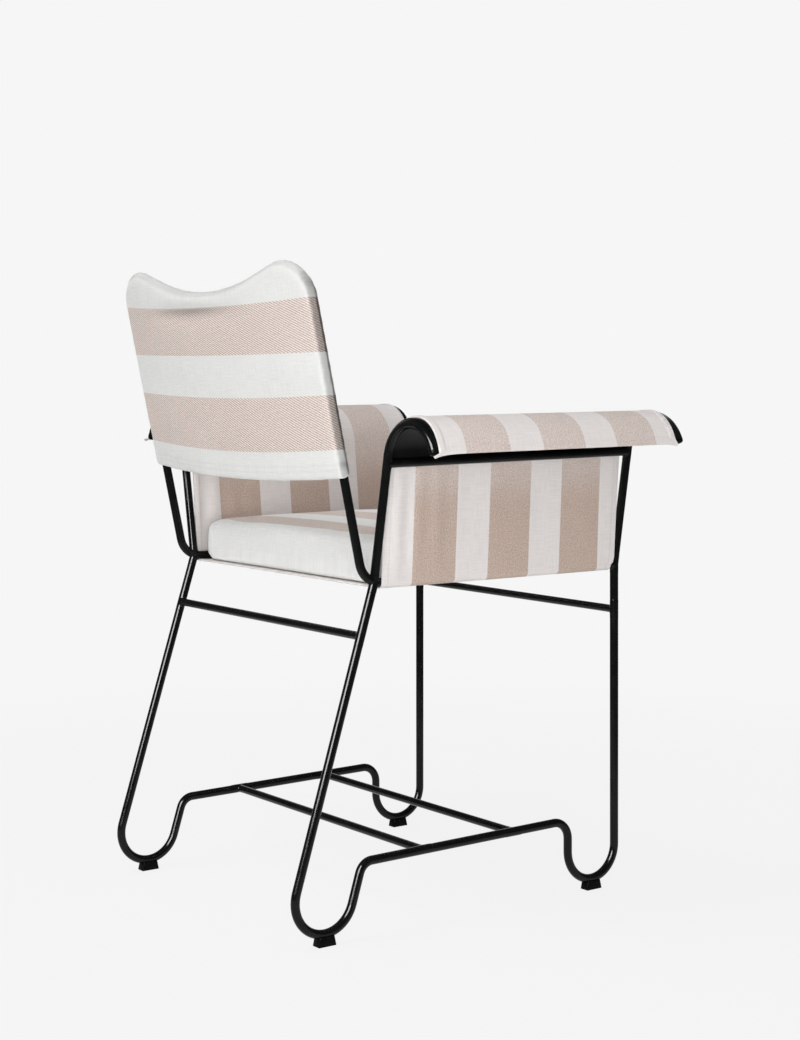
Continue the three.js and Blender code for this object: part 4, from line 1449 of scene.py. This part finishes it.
@dataclass
class BackCover:
    """The padded cover slipped over the back frame."""

    plan: ChairPlan
    shape: CoverShape
    finish: "Finish"
    columns: int = 100
    rows: int = 50
    bluntness: float = 3.0
    top_run: float = 0.806
    sag_heights: tuple[float, ...] = (0.53, 0.578, 0.6425, 0.692, 0.757, 0.80)
    sags: tuple[float, ...] = (0.010, 0.0085, 0.0055, 0.003, 0.0072, 0.013)
    crease_x: tuple[float, ...] = (-0.07, -0.03, 0.05, 0.15)
    crease_z: tuple[float, ...] = (0.7514, 0.7504, 0.7500, 0.7496)
    crease_middle: float = 0.035
    crease_reach: float = 0.085
    crease_depth: float = 0.0045
    crease_widths: tuple[float, float] = (0.005, 0.016)
    fold_height: float = 0.0012
    # Painted shade on the cover: its side faces, forward lip, upward-facing top rim, the crease and the
    # corner gathers. stitch_shade darkens the stitch lines.
    strip_shade: float = 0.44
    lip_shade: float = 0.55
    rim_shade: float = 0.20
    crease_shade: float = 0.26
    crease_shade_widths: tuple[float, float] = (0.0025, 0.008)
    stitch_shade: float = 0.06
    stitch_rises: tuple[float, float] = (0.010, 0.0165)
    gather_shade: float = 0.4
    gather_at: tuple[float, float] = (0.2245, 0.016)
    padding: Padding = field(default_factory=lambda: Padding(voxel=0.0038, pressure=3, cap=0.003))

    def build(self) -> None:
        """Sew the cover, blow it up a little and dress it."""
        cover = self._sewn()
        self.padding.remesh(cover)
        self.padding.blow_up(cover, self._held)
        self.padding.round_off(cover)
        places = read_places(cover)
        write_places(cover, self._creased(places))
        write_run(cover, self._flat)
        # Paint shade on the cover's sides, rim, crease and gathers, with its stitch lines, into a vertex
        # attribute.
        write_shade(cover, self._shade(places, read_normals(cover)))
        finish_piece(cover, "back_cover_pad", self.finish, ["back_cover"])

    def _sewn(self) -> bpy.types.Object:
        """Sew the cover's two faces together round its outline."""
        shape = self.shape
        edge = shape.edge
        fine = np.array([0, 0.02, 0.08, 0.18, 0.32, 0.5, 0.72, 1.0]) * edge
        width = 2 * shape.half_width
        even = np.linspace(edge, width - edge, self.columns + 1)[1:-1]
        x = np.concatenate([fine, even, width - fine[::-1]]) - shape.half_width
        top, bottom = shape.top(x), shape.bottom(x)
        rows = [mix(bottom + edge, top - edge, share) for share in np.linspace(0, 1, self.rows + 1)]
        first = [bottom + distance for distance in fine[:-1]]
        last = [top - distance for distance in fine[:-1][::-1]]
        z = np.stack([*first, *rows, *last])
        x = np.broadcast_to(x[None, :], z.shape)
        inside_z = np.minimum(z - bottom[None, :], top[None, :] - z)
        inside_z = np.where(z - bottom[None, :] < edge, self.bluntness * inside_z, inside_z)
        inside_x = shape.half_width - np.abs(x)
        half = quarter_round(inside_x / edge) * quarter_round(inside_z / edge) * shape.thickness / 2
        y = shape.middle(x, z)
        middle = np.stack([x, y, z], -1)
        lean = self.plan.back_lean
        normal = np.broadcast_to(np.array([0, math.cos(lean), -math.sin(lean)]), middle.shape)
        return cloth_mesh("back_cover_pad", middle, normal, half, np.stack([x, z], -1))

    def _held(self, places: Array) -> Array:
        """Hold the cover where the frame's rods run in it."""
        shape = self.shape
        x, z = places[:, 0], places[:, 2]
        inside = np.minimum.reduce([shape.half_width - np.abs(x), shape.top(x) - z, z - shape.bottom(x)])
        return 1 - ease(inside, 0.012, 0.040)

    def _flat(self, places: Array, normals: Array) -> Array:
        """Places on the flat cloth, whose stripes sag a little at mid-width."""
        x, y, z = places.T
        share = 1 - (x / self.shape.half_width) ** 2
        sag = np.interp(z, self.sag_heights, self.sags)
        depth = y - self.shape.middle(x, z)
        turned = np.clip(np.abs(x) - self.shape.half_width + self.shape.edge, 0, None)
        along = x + np.sign(x) * np.where(turned > 0, self.shape.edge - depth, 0)
        return np.stack([along, np.minimum(z + sag * share, self.top_run)], -1)

    def _crease(self, places: Array) -> tuple[Array, Array]:
        """How near each place is to the crease under the top rod, and how far above it, in metres."""
        x, y, z = places.T
        rear = ease(y - self.shape.middle(x, z), -0.002, 0.004)
        slack = bell(x, self.crease_middle, self.crease_reach) * rear
        return slack, z - np.interp(x, self.crease_x, self.crease_z)

    def _creased(self, places: Array) -> Array:
        """Draw the cover in under the top rod, where it lies slack below the valley."""
        places = places.copy()
        slack, above = self._crease(places)
        crease = self.crease_depth * bell(above, 0, np.where(above > 0, *self.crease_widths))
        fold = self.fold_height * bell(above, 0.014, 0.007)
        places[:, 1] -= (crease - fold) * slack
        return places

    def _shade(self, places: Array, normals: Array) -> Array:
        """Share of the colour that shows: painted shade on the side faces, the forward lip, the upward-facing
        top rim, the crease and the corner gathers, and darker stitch lines.
        """
        x, z = places[:, 0], places[:, 2]
        lift = z - self.shape.bottom(x)
        # Painted shade: faces that turn to the side, and the lip that turns to the front, are darkened by
        # their normals.
        side = ease(np.abs(normals[:, 0]), 0.58, 0.9)
        painted_side_shade = 1 - self.strip_shade * side
        painted_lip_shade = 1 - self.lip_shade * side * ease(-normals[:, 1], 0.05, 0.35)
        # Painted shade: upward-facing surfaces away from the bottom edge are darkened.
        painted_rim_shade = 1 - self.rim_shade * ease(normals[:, 2], 0.0, 0.45) * ease(lift, 0.05, 0.10)
        # Painted shade in the crease under the top rod.
        slack, above = self._crease(places)
        width = np.where(above > 0, *self.crease_shade_widths)
        crease = 1 - self.crease_shade * slack * bell(above, 0, width)
        stitches = 1 - self.stitch_shade * sum(bell(lift, rise, 0.0012) for rise in self.stitch_rises)
        # Painted shade in the gathered fold at each lower corner.
        corner_x, corner_rise = self.gather_at
        painted_gather_shade = 1 - self.gather_shade * bell(np.abs(x), corner_x, 0.003) * bell(lift, corner_rise, 0.005)
        return painted_side_shade * painted_lip_shade * painted_rim_shade * crease * stitches * painted_gather_shade


# Finishes


class Bench:
    """A node tree, with short calls that add and join its nodes."""

    def __init__(self, tree: bpy.types.NodeTree) -> None:
        """Start work on a tree.

        Args:
            tree: The node tree to build in.
        """
        self.tree = tree

    def add(self, kind: str, values: dict[str, Value] | None = None, **settings: object) -> bpy.types.Node:
        """Add a node.

        Args:
            kind: The node's type.
            values: Its inputs by name, each a number or another node's output.
            **settings: Its own properties.

        Returns:
            The new node.
        """
        node = self.tree.nodes.new(kind)
        for key, value in settings.items():
            setattr(node, key, value)
        for key, value in (values or {}).items():
            self.feed(node.inputs[key], value)
        return node

    def feed(self, socket: Socket, value: Value) -> None:
        """Join an output to a socket, or set the socket to a number.

        Args:
            socket: The input.
            value: An output or a number.
        """
        if isinstance(value, bpy.types.NodeSocket):
            self.tree.links.new(value, socket)
        else:
            socket.default_value = value

    def math(self, operation: str, *values: Value) -> Socket:
        """Add a Math node and give its result."""
        node = self.add("ShaderNodeMath", operation=operation)
        for socket, value in zip(node.inputs, values):
            self.feed(socket, value)
        return node.outputs[0]

    def step(self, value: Value, low: float, high: float, floor: float = 0.0, ceiling: float = 1.0) -> Socket:
        """Add a smooth Map Range and give its result."""
        node = self.add("ShaderNodeMapRange", interpolation_type="SMOOTHSTEP")
        for key, number in (
            ("Value", value), ("From Min", low), ("From Max", high), ("To Min", floor), ("To Max", ceiling),
        ):
            self.feed(node.inputs[key], number)
        return node.outputs[0]

    def noise(self, vector: Value, scale: float, detail: float = 2.0) -> Socket:
        """Add a Noise Texture and give its factor."""
        return self.add("ShaderNodeTexNoise", {"Vector": vector, "Scale": scale, "Detail": detail}).outputs[0]

    def blend(self, factor: Value, first: Value, second: Value) -> Socket:
        """Add a colour mix and give its result."""
        node = self.add("ShaderNodeMix", data_type="RGBA")
        self.feed(node.inputs[0], factor)
        self.feed(node.inputs[6], first)
        self.feed(node.inputs[7], second)
        return node.outputs[2]

    def stretch(self, along: Value, across: Value, scales: tuple[float, float]) -> Socket:
        """A vector from two lengths, each with its own scale."""
        x, y = self.math("MULTIPLY", along, scales[0]), self.math("MULTIPLY", across, scales[1])
        return self.add("ShaderNodeCombineXYZ", {"X": x, "Y": y}).outputs[0]


def effect(
    name: str, inputs: dict[str, float], outputs: Sequence[str]
) -> tuple[Bench, Socket, Socket] | None:
    """Start a shader node group, unless it is built already.

    Args:
        name: The group's name.
        inputs: Its inputs and their usual values.
        outputs: Its outputs.

    Returns:
        The bench, the inputs' node and the outputs' node, or None if the group stands already.
    """
    if name in bpy.data.node_groups:
        return None
    group = bpy.data.node_groups.new(name, "ShaderNodeTree")
    for key, number in inputs.items():
        group.interface.new_socket(key, in_out="INPUT", socket_type="NodeSocketFloat").default_value = number
    for key in outputs:
        group.interface.new_socket(key, in_out="OUTPUT", socket_type="NodeSocketFloat")
    bench = Bench(group)
    return bench, bench.add("NodeGroupInput"), bench.add("NodeGroupOutput")


def opaque(colour: tuple[float, float, float], times: float = 1.0) -> tuple[float, ...]:
    """A colour with full alpha, its channels multiplied by a factor."""
    return (*(channel * times for channel in colour), 1)


def weave_effect() -> bpy.types.NodeTree:
    """Woven threads: heights of a weave whose threads pass over and under by a count.

    Returns:
        The node group.
    """
    name = "weave_threads"
    made = effect(name, {"Along": 0, "Across": 0, "Pitch": MM, "Count": 2, "Over": 1}, ["Height"])
    if made:
        bench, start, end = made
        take = start.outputs
        threads = [bench.math("DIVIDE", take[key], take["Pitch"]) for key in ("Along", "Across")]
        cell = bench.math("ADD", *(bench.math("FLOOR", thread) for thread in threads))
        over = bench.math("LESS_THAN", bench.math("FLOORED_MODULO", cell, take["Count"]), take["Over"])
        along, across = (
            bench.math("ABSOLUTE", bench.math("SINE", bench.math("MULTIPLY", thread, math.pi)))
            for thread in threads
        )
        under = bench.math("MULTIPLY", bench.math("SUBTRACT", 1.0, over), across)
        bench.feed(end.inputs["Height"], bench.math("MULTIPLY_ADD", over, along, under))
    return bpy.data.node_groups[name]


def slub_effect() -> bpy.types.NodeTree:
    """Uneven yarn: fine streaks along the threads of both directions.

    Returns:
        The node group.
    """
    name = "yarn_slubs"
    made = effect(name, {"Along": 0, "Across": 0}, ["Along Streaks", "Across Streaks", "Cloud"])
    if made:
        bench, start, end = made
        along, across = start.outputs["Along"], start.outputs["Across"]
        for key, scales, detail in (
            ("Along Streaks", (42, 950), 3),
            ("Across Streaks", (950, 42), 3),
            ("Cloud", (9, 14), 2),
        ):
            bench.feed(end.inputs[key], bench.noise(bench.stretch(along, across, scales), 1.0, detail))
    return bpy.data.node_groups[name]


def stripe_effect() -> bpy.types.NodeTree:
    """Stripes of one width at one spacing, with a thread's softness at their edges.

    Returns:
        The node group.
    """
    name = "woven_stripes"
    made = effect(name, {"Across": 0, "Start": 0, "Period": 1, "Width": 0.5, "Jitter": 0}, ["Stripe"])
    softness = 0.0006
    if made:
        bench, start, end = made
        take = start.outputs
        place = bench.math("SUBTRACT", bench.math("ADD", take["Across"], take["Jitter"]), take["Start"])
        place = bench.math("FLOORED_MODULO", place, take["Period"])
        rise = bench.step(place, 0.0, softness)
        fall = bench.step(bench.math("SUBTRACT", place, take["Width"]), -softness, 0.0, 1.0, 0.0)
        bench.feed(end.inputs["Stripe"], bench.math("MULTIPLY", rise, fall))
    return bpy.data.node_groups[name]


class Finish:
    """A finish: one material, made the first time that it is asked for."""

    name: str

    def material(self) -> bpy.types.Material:
        """The finish's material."""
        known = bpy.data.materials.get(self.name)
        if known:
            return known
        material = bpy.data.materials.new(self.name)
        material.use_nodes = True
        bench = Bench(material.node_tree)
        self.dress(bench, material.node_tree.nodes["Principled BSDF"])
        return material

    def dress(self, bench: Bench, shader: bpy.types.Node) -> None:
        """Build the finish on a fresh material.

        Args:
            bench: The material's tree.
            shader: Its Principled BSDF.
        """
        raise NotImplementedError


@dataclass(frozen=True)
class Enamel(Finish):
    """Baked black enamel on steel rod: glossy, with a faint orange peel."""

    name: str = "black_enamel"
    colour: tuple[float, float, float] = (0.0030, 0.0033, 0.0033)
    roughness: float = 0.15
    specular: float = 0.17
    peel: float = 0.004

    def dress(self, bench: Bench, shader: bpy.types.Node) -> None:
        """Build the enamel on a fresh material."""
        place = bench.add("ShaderNodeTexCoord").outputs["Object"]
        cloud = bench.noise(place, 38, 3)
        fine = bench.noise(place, 900, 2)
        shader.inputs["Specular IOR Level"].default_value = self.specular
        tint = bench.blend(bench.step(cloud, 0.35, 0.7), opaque(self.colour), opaque(self.colour, 1.5))
        bench.feed(shader.inputs["Base Color"], tint)
        roughness = bench.step(cloud, 0.2, 0.8, self.roughness - 0.04, self.roughness + 0.05)
        bench.feed(shader.inputs["Roughness"], roughness)
        bump = bench.add("ShaderNodeBump", {"Strength": self.peel, "Distance": 0.0002, "Height": fine})
        bench.feed(shader.inputs["Normal"], bump.outputs[0])


@dataclass(frozen=True)
class Nylon(Finish):
    """Black moulded nylon with a fine spark-eroded grain."""

    name: str = "moulded_nylon"
    colour: tuple[float, float, float] = (0.0035, 0.0037, 0.0038)
    roughness: float = 0.25
    specular: float = 0.03

    def dress(self, bench: Bench, shader: bpy.types.Node) -> None:
        """Build the nylon on a fresh material."""
        place = bench.add("ShaderNodeTexCoord").outputs["Object"]
        grain = bench.noise(place, 1400, 2)
        scuff = bench.noise(place, 160, 4)
        shader.inputs["Specular IOR Level"].default_value = self.specular
        tint = bench.blend(bench.step(scuff, 0.45, 0.75), opaque(self.colour), opaque(self.colour, 1.8))
        bench.feed(shader.inputs["Base Color"], tint)
        roughness = bench.step(scuff, 0.3, 0.8, self.roughness, self.roughness + 0.15)
        bench.feed(shader.inputs["Roughness"], roughness)
        bump = bench.add("ShaderNodeBump", {"Strength": 0.1, "Distance": 0.0001, "Height": grain})
        bench.feed(shader.inputs["Normal"], bump.outputs[0])


PLAIN_WEAVE = {"Pitch": 0.0011, "Count": 2, "Over": 1}
TWILL_WEAVE = {"Pitch": 0.0009, "Count": 4, "Over": 2}


@dataclass(frozen=True)
class StripedCloth(Finish):
    """Outdoor cloth: plain-woven white with wide beige stripes in a twill."""

    name: str
    start: float
    period: float = 0.117
    width: float = 0.0665
    white: tuple[float, float, float] = (0.775, 0.775, 0.76)
    beige: tuple[float, float, float] = (0.665, 0.572, 0.523)
    # Painted shade: a darker beige for stripes low on the sling's hanging sides, blended in by height.
    low_beige: tuple[float, float, float] | None = None
    contrast: float = 0.36
    pitch: tuple[float, float] = (0.0032, 0.0073)
    dot_pitch: float = 0.0021
    fleck: float = 0.15
    fleck_scale: float = 540
    edge_wander: float = 0.0012
    fade_heights: tuple[float, float] = (0.50, 0.57)

    def dress(self, bench: Bench, shader: bpy.types.Node) -> None:
        """Build the cloth on a fresh material."""
        run = bench.add("ShaderNodeUVMap", uv_map=RUN_MAP).outputs[0]
        flat = bench.add("ShaderNodeSeparateXYZ", {"Vector": run}).outputs
        place = {"Along": flat["X"], "Across": flat["Y"]}
        slubs = bench.add("ShaderNodeGroup", place, node_tree=slub_effect()).outputs
        plain, twill = (
            bench.add("ShaderNodeGroup", {**place, **weave}, node_tree=weave_effect()).outputs[0]
            for weave in (PLAIN_WEAVE, TWILL_WEAVE)
        )
        stripe = self._stripe(bench, place["Across"], slubs["Across Streaks"])
        height = bench.math("MULTIPLY_ADD", bench.math("SUBTRACT", twill, plain), stripe, plain)
        streaks = bench.math("ADD", slubs["Along Streaks"], slubs["Across Streaks"])
        cloud = bench.step(slubs["Cloud"], 0.3, 0.7, -0.012, 0.012)
        shade = bench.math("ADD", bench.step(streaks, 0.7, 1.3, 0.93, 1.04), cloud)
        shade = bench.math("MULTIPLY_ADD", self._lines(bench, **place), stripe, shade)
        shade = bench.math("MULTIPLY", shade, bench.step(height, 0.0, 0.8, 0.94, 1.0))
        # Stitch lines and painted shade written on the mesh darken the colour, more in the stripes.
        shade = bench.math("MULTIPLY", shade, self._sewn(bench, stripe))
        colour = bench.blend(stripe, opaque(self.white), self._beige(bench))
        shaded = bench.add("ShaderNodeHueSaturation", {"Color": colour, "Value": shade})
        relief = bench.math("MULTIPLY_ADD", streaks, 0.6, height)
        bump = bench.add("ShaderNodeBump", {"Strength": 0.35, "Distance": 0.0004, "Height": relief})
        for key, value in (
            ("Base Color", shaded.outputs[0]),
            ("Roughness", bench.step(height, 0.0, 1.0, 0.95, 0.82)),
            ("Normal", bump.outputs[0]),
            ("Specular IOR Level", 0.15),
            ("Sheen Weight", 0.12),
            ("Sheen Roughness", 0.5),
        ):
            bench.feed(shader.inputs[key], value)

    def _stripe(self, bench: Bench, across: Socket, wander: Socket) -> Socket:
        """Where the cloth is beige, its stripes' edges a little uneven."""
        jitter = bench.math("MULTIPLY", bench.math("SUBTRACT", wander, 0.5), self.edge_wander)
        values = {"Across": across, "Jitter": jitter, "Start": self.start}
        values |= {"Period": self.period, "Width": self.width}
        return bench.add("ShaderNodeGroup", values, node_tree=stripe_effect()).outputs[0]

    def _beige(self, bench: Bench) -> Value:
        """The stripes' colour, with painted shade: blended to the darker beige low on the sling's hanging
        sides, where there is one.
        """
        if not self.low_beige:
            return opaque(self.beige)
        place = bench.add("ShaderNodeTexCoord").outputs["Object"]
        height = bench.add("ShaderNodeSeparateXYZ", {"Vector": place}).outputs["Z"]
        return bench.blend(bench.step(height, *self.fade_heights), opaque(self.low_beige), opaque(self.beige))

    def _lines(self, bench: Bench, Along: Socket, Across: Socket) -> Socket:
        """How much lighter or darker the stripes' slanting twill lines and flecks are."""
        rise, run = (bench.math("DIVIDE", value, pitch) for value, pitch in zip((Across, Along), self.pitch))
        line = bench.math("SINE", bench.math("MULTIPLY", bench.math("SUBTRACT", rise, run), 2 * math.pi))
        dots = bench.math("SINE", bench.math("MULTIPLY", Along, 2 * math.pi / self.dot_pitch))
        line = bench.math("MULTIPLY", line, bench.math("MULTIPLY_ADD", dots, 0.35, 1.0))
        flecks = bench.noise(bench.stretch(Along, Across, (self.fleck_scale,) * 2), 1.0, 1)
        flecks = bench.step(flecks, 0.3, 0.7, -self.fleck, self.fleck)
        return bench.math("MULTIPLY_ADD", line, self.contrast, flecks)

    def _sewn(self, bench: Bench, stripe: Socket) -> Socket:
        """The written shade: stitch lines, and painted shade on the back cover, deeper in the stripes."""
        stitches_and_painted_shade = bench.add("ShaderNodeAttribute", attribute_name=SHADE).outputs["Fac"]
        return bench.math("POWER", stitches_and_painted_shade, bench.math("MULTIPLY_ADD", stripe, 0.6, 1.0))


# The studio


class LampRole(Enum):
    """What a softbox does for the picture."""

    SHAPING = "it lights the surfaces and is not mirrored"
    MIRRORED = "it only shows as a streak in glossy surfaces"


@dataclass
class Lamp:
    """A softbox: where it stands, what it faces, its size, its strength and what it does."""

    name: str
    place: Vector
    target: Vector
    size: tuple[float, float]
    watts: float
    role: LampRole

    def build(self) -> None:
        """Hang the softbox."""
        light = bpy.data.lights.new(self.name, "AREA")
        light.shape = "RECTANGLE"
        light.size, light.size_y = self.size
        light.energy = self.watts
        lamp = bpy.data.objects.new(self.name, light)
        lamp.location = self.place
        lamp.rotation_euler = (self.target - self.place).to_track_quat("-Z", "Y").to_euler()
        lamp.visible_camera = False
        lamp.visible_diffuse = self.role is LampRole.SHAPING
        lamp.visible_glossy = self.role is LampRole.MIRRORED
        bpy.context.scene.collection.objects.link(lamp)


@dataclass
class Studio:
    """The camera, the lamps, the pale floor and the white surround."""

    plan: ChairPlan
    azimuth: float = math.radians(233.7263)
    camera_at: tuple[float, float, float] = (-2.0615, 1.4549, 0.6711)
    focal: float = 1900.08
    middle: tuple[float, float] = (400.8, 373.0)
    frame_size: tuple[int, int] = (800, 1040)
    lamp_target: tuple[float, float, float] = (0, 0, 0.45)
    white: float = 0.9216
    ambient: float = 0.41
    dim_room: float = 0.10
    sky_dimming: float = 0.8
    floor_radius: float = 9.0
    floor_cover: float = 0.93
    cover_fade: tuple[float, float] = (0.5, 2.2)
    mirror_fade: tuple[float, float] = (0.6, 1.4)
    mirror_dimming: float = 0.8

    def build(self) -> None:
        """Set the whole studio up."""
        self._camera()
        self._surround()
        self._floor()
        target = Vector(self.lamp_target)
        right = Vector((math.cos(self.azimuth), math.sin(self.azimuth), 0))
        ahead = Vector((-math.sin(self.azimuth), math.cos(self.azimuth), 0))
        shaping, mirrored = LampRole.SHAPING, LampRole.MIRRORED
        for name, left, back, height, size, watts, role in (
            ("high_softbox", 1.2, 0.6, 2.6, (1.3, 1.3), 38, shaping),
            ("low_softbox", 0.0, 2.4, 0.1, (1.3, 1.0), 29, shaping),
            ("streak_softbox", 1.64, 2.51, 1.34, (1.95, 2.1), 500, mirrored),
        ):
            place = target - right * left - ahead * back + UP * height
            Lamp(name, place, target, size, watts, role).build()
        bpy.context.scene.view_settings.view_transform = "Standard"

    def _camera(self) -> None:
        """Stand the camera where the photograph was taken from."""
        camera = bpy.data.cameras.new("camera")
        camera.sensor_width = 36
        longest = max(self.frame_size)
        camera.lens = camera.sensor_width * self.focal / longest
        camera.shift_x = (self.frame_size[0] / 2 - self.middle[0]) / longest
        camera.shift_y = (self.middle[1] - self.frame_size[1] / 2) / longest
        camera.clip_start, camera.clip_end = 0.05, 100
        eye = bpy.data.objects.new("camera", camera)
        eye.location = self.plan.at(*self.camera_at)
        eye.rotation_euler = (QUARTER, 0, self.azimuth)
        bpy.context.scene.collection.objects.link(eye)
        bpy.context.scene.camera = eye

    def _surround(self) -> None:
        """White to the camera, white behind the chair in mirrors, and a soft grey light."""
        world = bpy.data.worlds.new("surround")
        world.use_nodes = True
        bpy.context.scene.world = world
        bench = Bench(world.node_tree)
        background = world.node_tree.nodes["Background"]
        path = bench.add("ShaderNodeLightPath").outputs
        seen = bench.math("MAXIMUM", path["Is Camera Ray"], path["Is Transmission Ray"])
        way = bench.add("ShaderNodeTexCoord").outputs["Object"]
        ahead = (-math.sin(self.azimuth), math.cos(self.azimuth), -self.sky_dimming)
        turned = bench.add("ShaderNodeVectorMath", {0: way, 1: ahead}, operation="DOT_PRODUCT")
        facing = turned.outputs["Value"]
        mirrored = bench.step(facing, 0.3, 0.8, self.dim_room, self.white)
        white, soft = opaque((self.white,) * 3), opaque((self.ambient,) * 3)
        colour = bench.blend(path["Is Glossy Ray"], soft, mirrored)
        bench.feed(background.inputs["Color"], bench.blend(seen, colour, white))

    def _floor(self) -> None:
        """Lay a pale floor that fades into the surround and keeps the chair's shadow."""
        deselect()
        bpy.ops.mesh.primitive_circle_add(vertices=96, radius=self.floor_radius, fill_type="NGON")
        floor = bpy.context.object
        floor.name = "floor"
        material = bpy.data.materials.new("pale_floor")
        material.use_nodes = True
        tree = material.node_tree
        bench = Bench(tree)
        path = bench.add("ShaderNodeLightPath").outputs
        seen = bench.math("MAXIMUM", path["Is Camera Ray"], path["Is Glossy Ray"])
        seen = bench.math("MAXIMUM", seen, path["Is Transmission Ray"])
        place = bench.add("ShaderNodeTexCoord").outputs["Object"]
        radius = bench.add("ShaderNodeVectorMath", {"Vector": place}, operation="LENGTH").outputs["Value"]
        dimmed = bench.step(radius, *self.mirror_fade, 0.0, self.mirror_dimming)
        strength = bench.math("SUBTRACT", 1.0, bench.math("MULTIPLY", path["Is Glossy Ray"], dimmed))
        body = tree.nodes["Principled BSDF"]
        paint = {"Base Color": opaque((0.85,) * 3), "Roughness": 0.9, "Specular IOR Level": 0.1}
        for key, value in paint.items():
            bench.feed(body.inputs[key], value)
        glow = bench.add("ShaderNodeEmission", {"Color": opaque((self.white,) * 3), "Strength": strength})
        cover = bench.step(bench.step(radius, *self.cover_fade), 0.0, 1.0, self.floor_cover, 1.0)
        share = bench.math("MULTIPLY", seen, cover)
        joined = bench.add("ShaderNodeMixShader", {0: share, 1: body.outputs[0], 2: glow.outputs[0]})
        bench.feed(tree.nodes["Material Output"].inputs["Surface"], joined.outputs[0])
        floor.data.materials.append(material)


def main() -> None:
    """Build the chair, sub-assembly by sub-assembly, and stand it in the studio."""
    logging.basicConfig(level=logging.INFO, format="%(message)s", stream=sys.stdout)
    low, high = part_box("front_crossbar")
    plan = ChairPlan(shift=(low.y + high.y) / 2 - ChairPlan(shift=0).front_leg)
    enamel, nylon = Enamel(), Nylon()
    Studio(plan).build()
    shape = CoverShape(plan)
    rods = RodWork(plan, enamel)
    rods.build(shape)
    Welds(plan, enamel, rods).build()
    Glides(plan, nylon).build()
    ScrollCaps(plan, nylon).build()
    shells = ArmShells(plan, enamel, rods)
    shells.build()
    fine = {"contrast": 0.15, "pitch": (0.0014, 0.0021)}
    sling = StripedCloth(
        "sling_stripes",
        start=-0.2095,
        white=(0.80, 0.757, 0.740),
        beige=(0.67, 0.578, 0.532),
        # Painted shade: the darker beige of the sling's hanging sides.
        low_beige=(0.55, 0.43, 0.365),
        **fine,
    )
    Slings(plan, sling).build()
    pad = StripedCloth(
        "cushion_stripes", start=0.0, white=(0.89, 0.89, 0.875), beige=(0.73, 0.63, 0.575), **fine
    )
    SeatCushion(plan, pad).build()
    BackCover(plan, shape, StripedCloth("cover_stripes", start=0.581, period=0.1145, width=0.0645)).build()


if __name__ == "__main__":
    main()
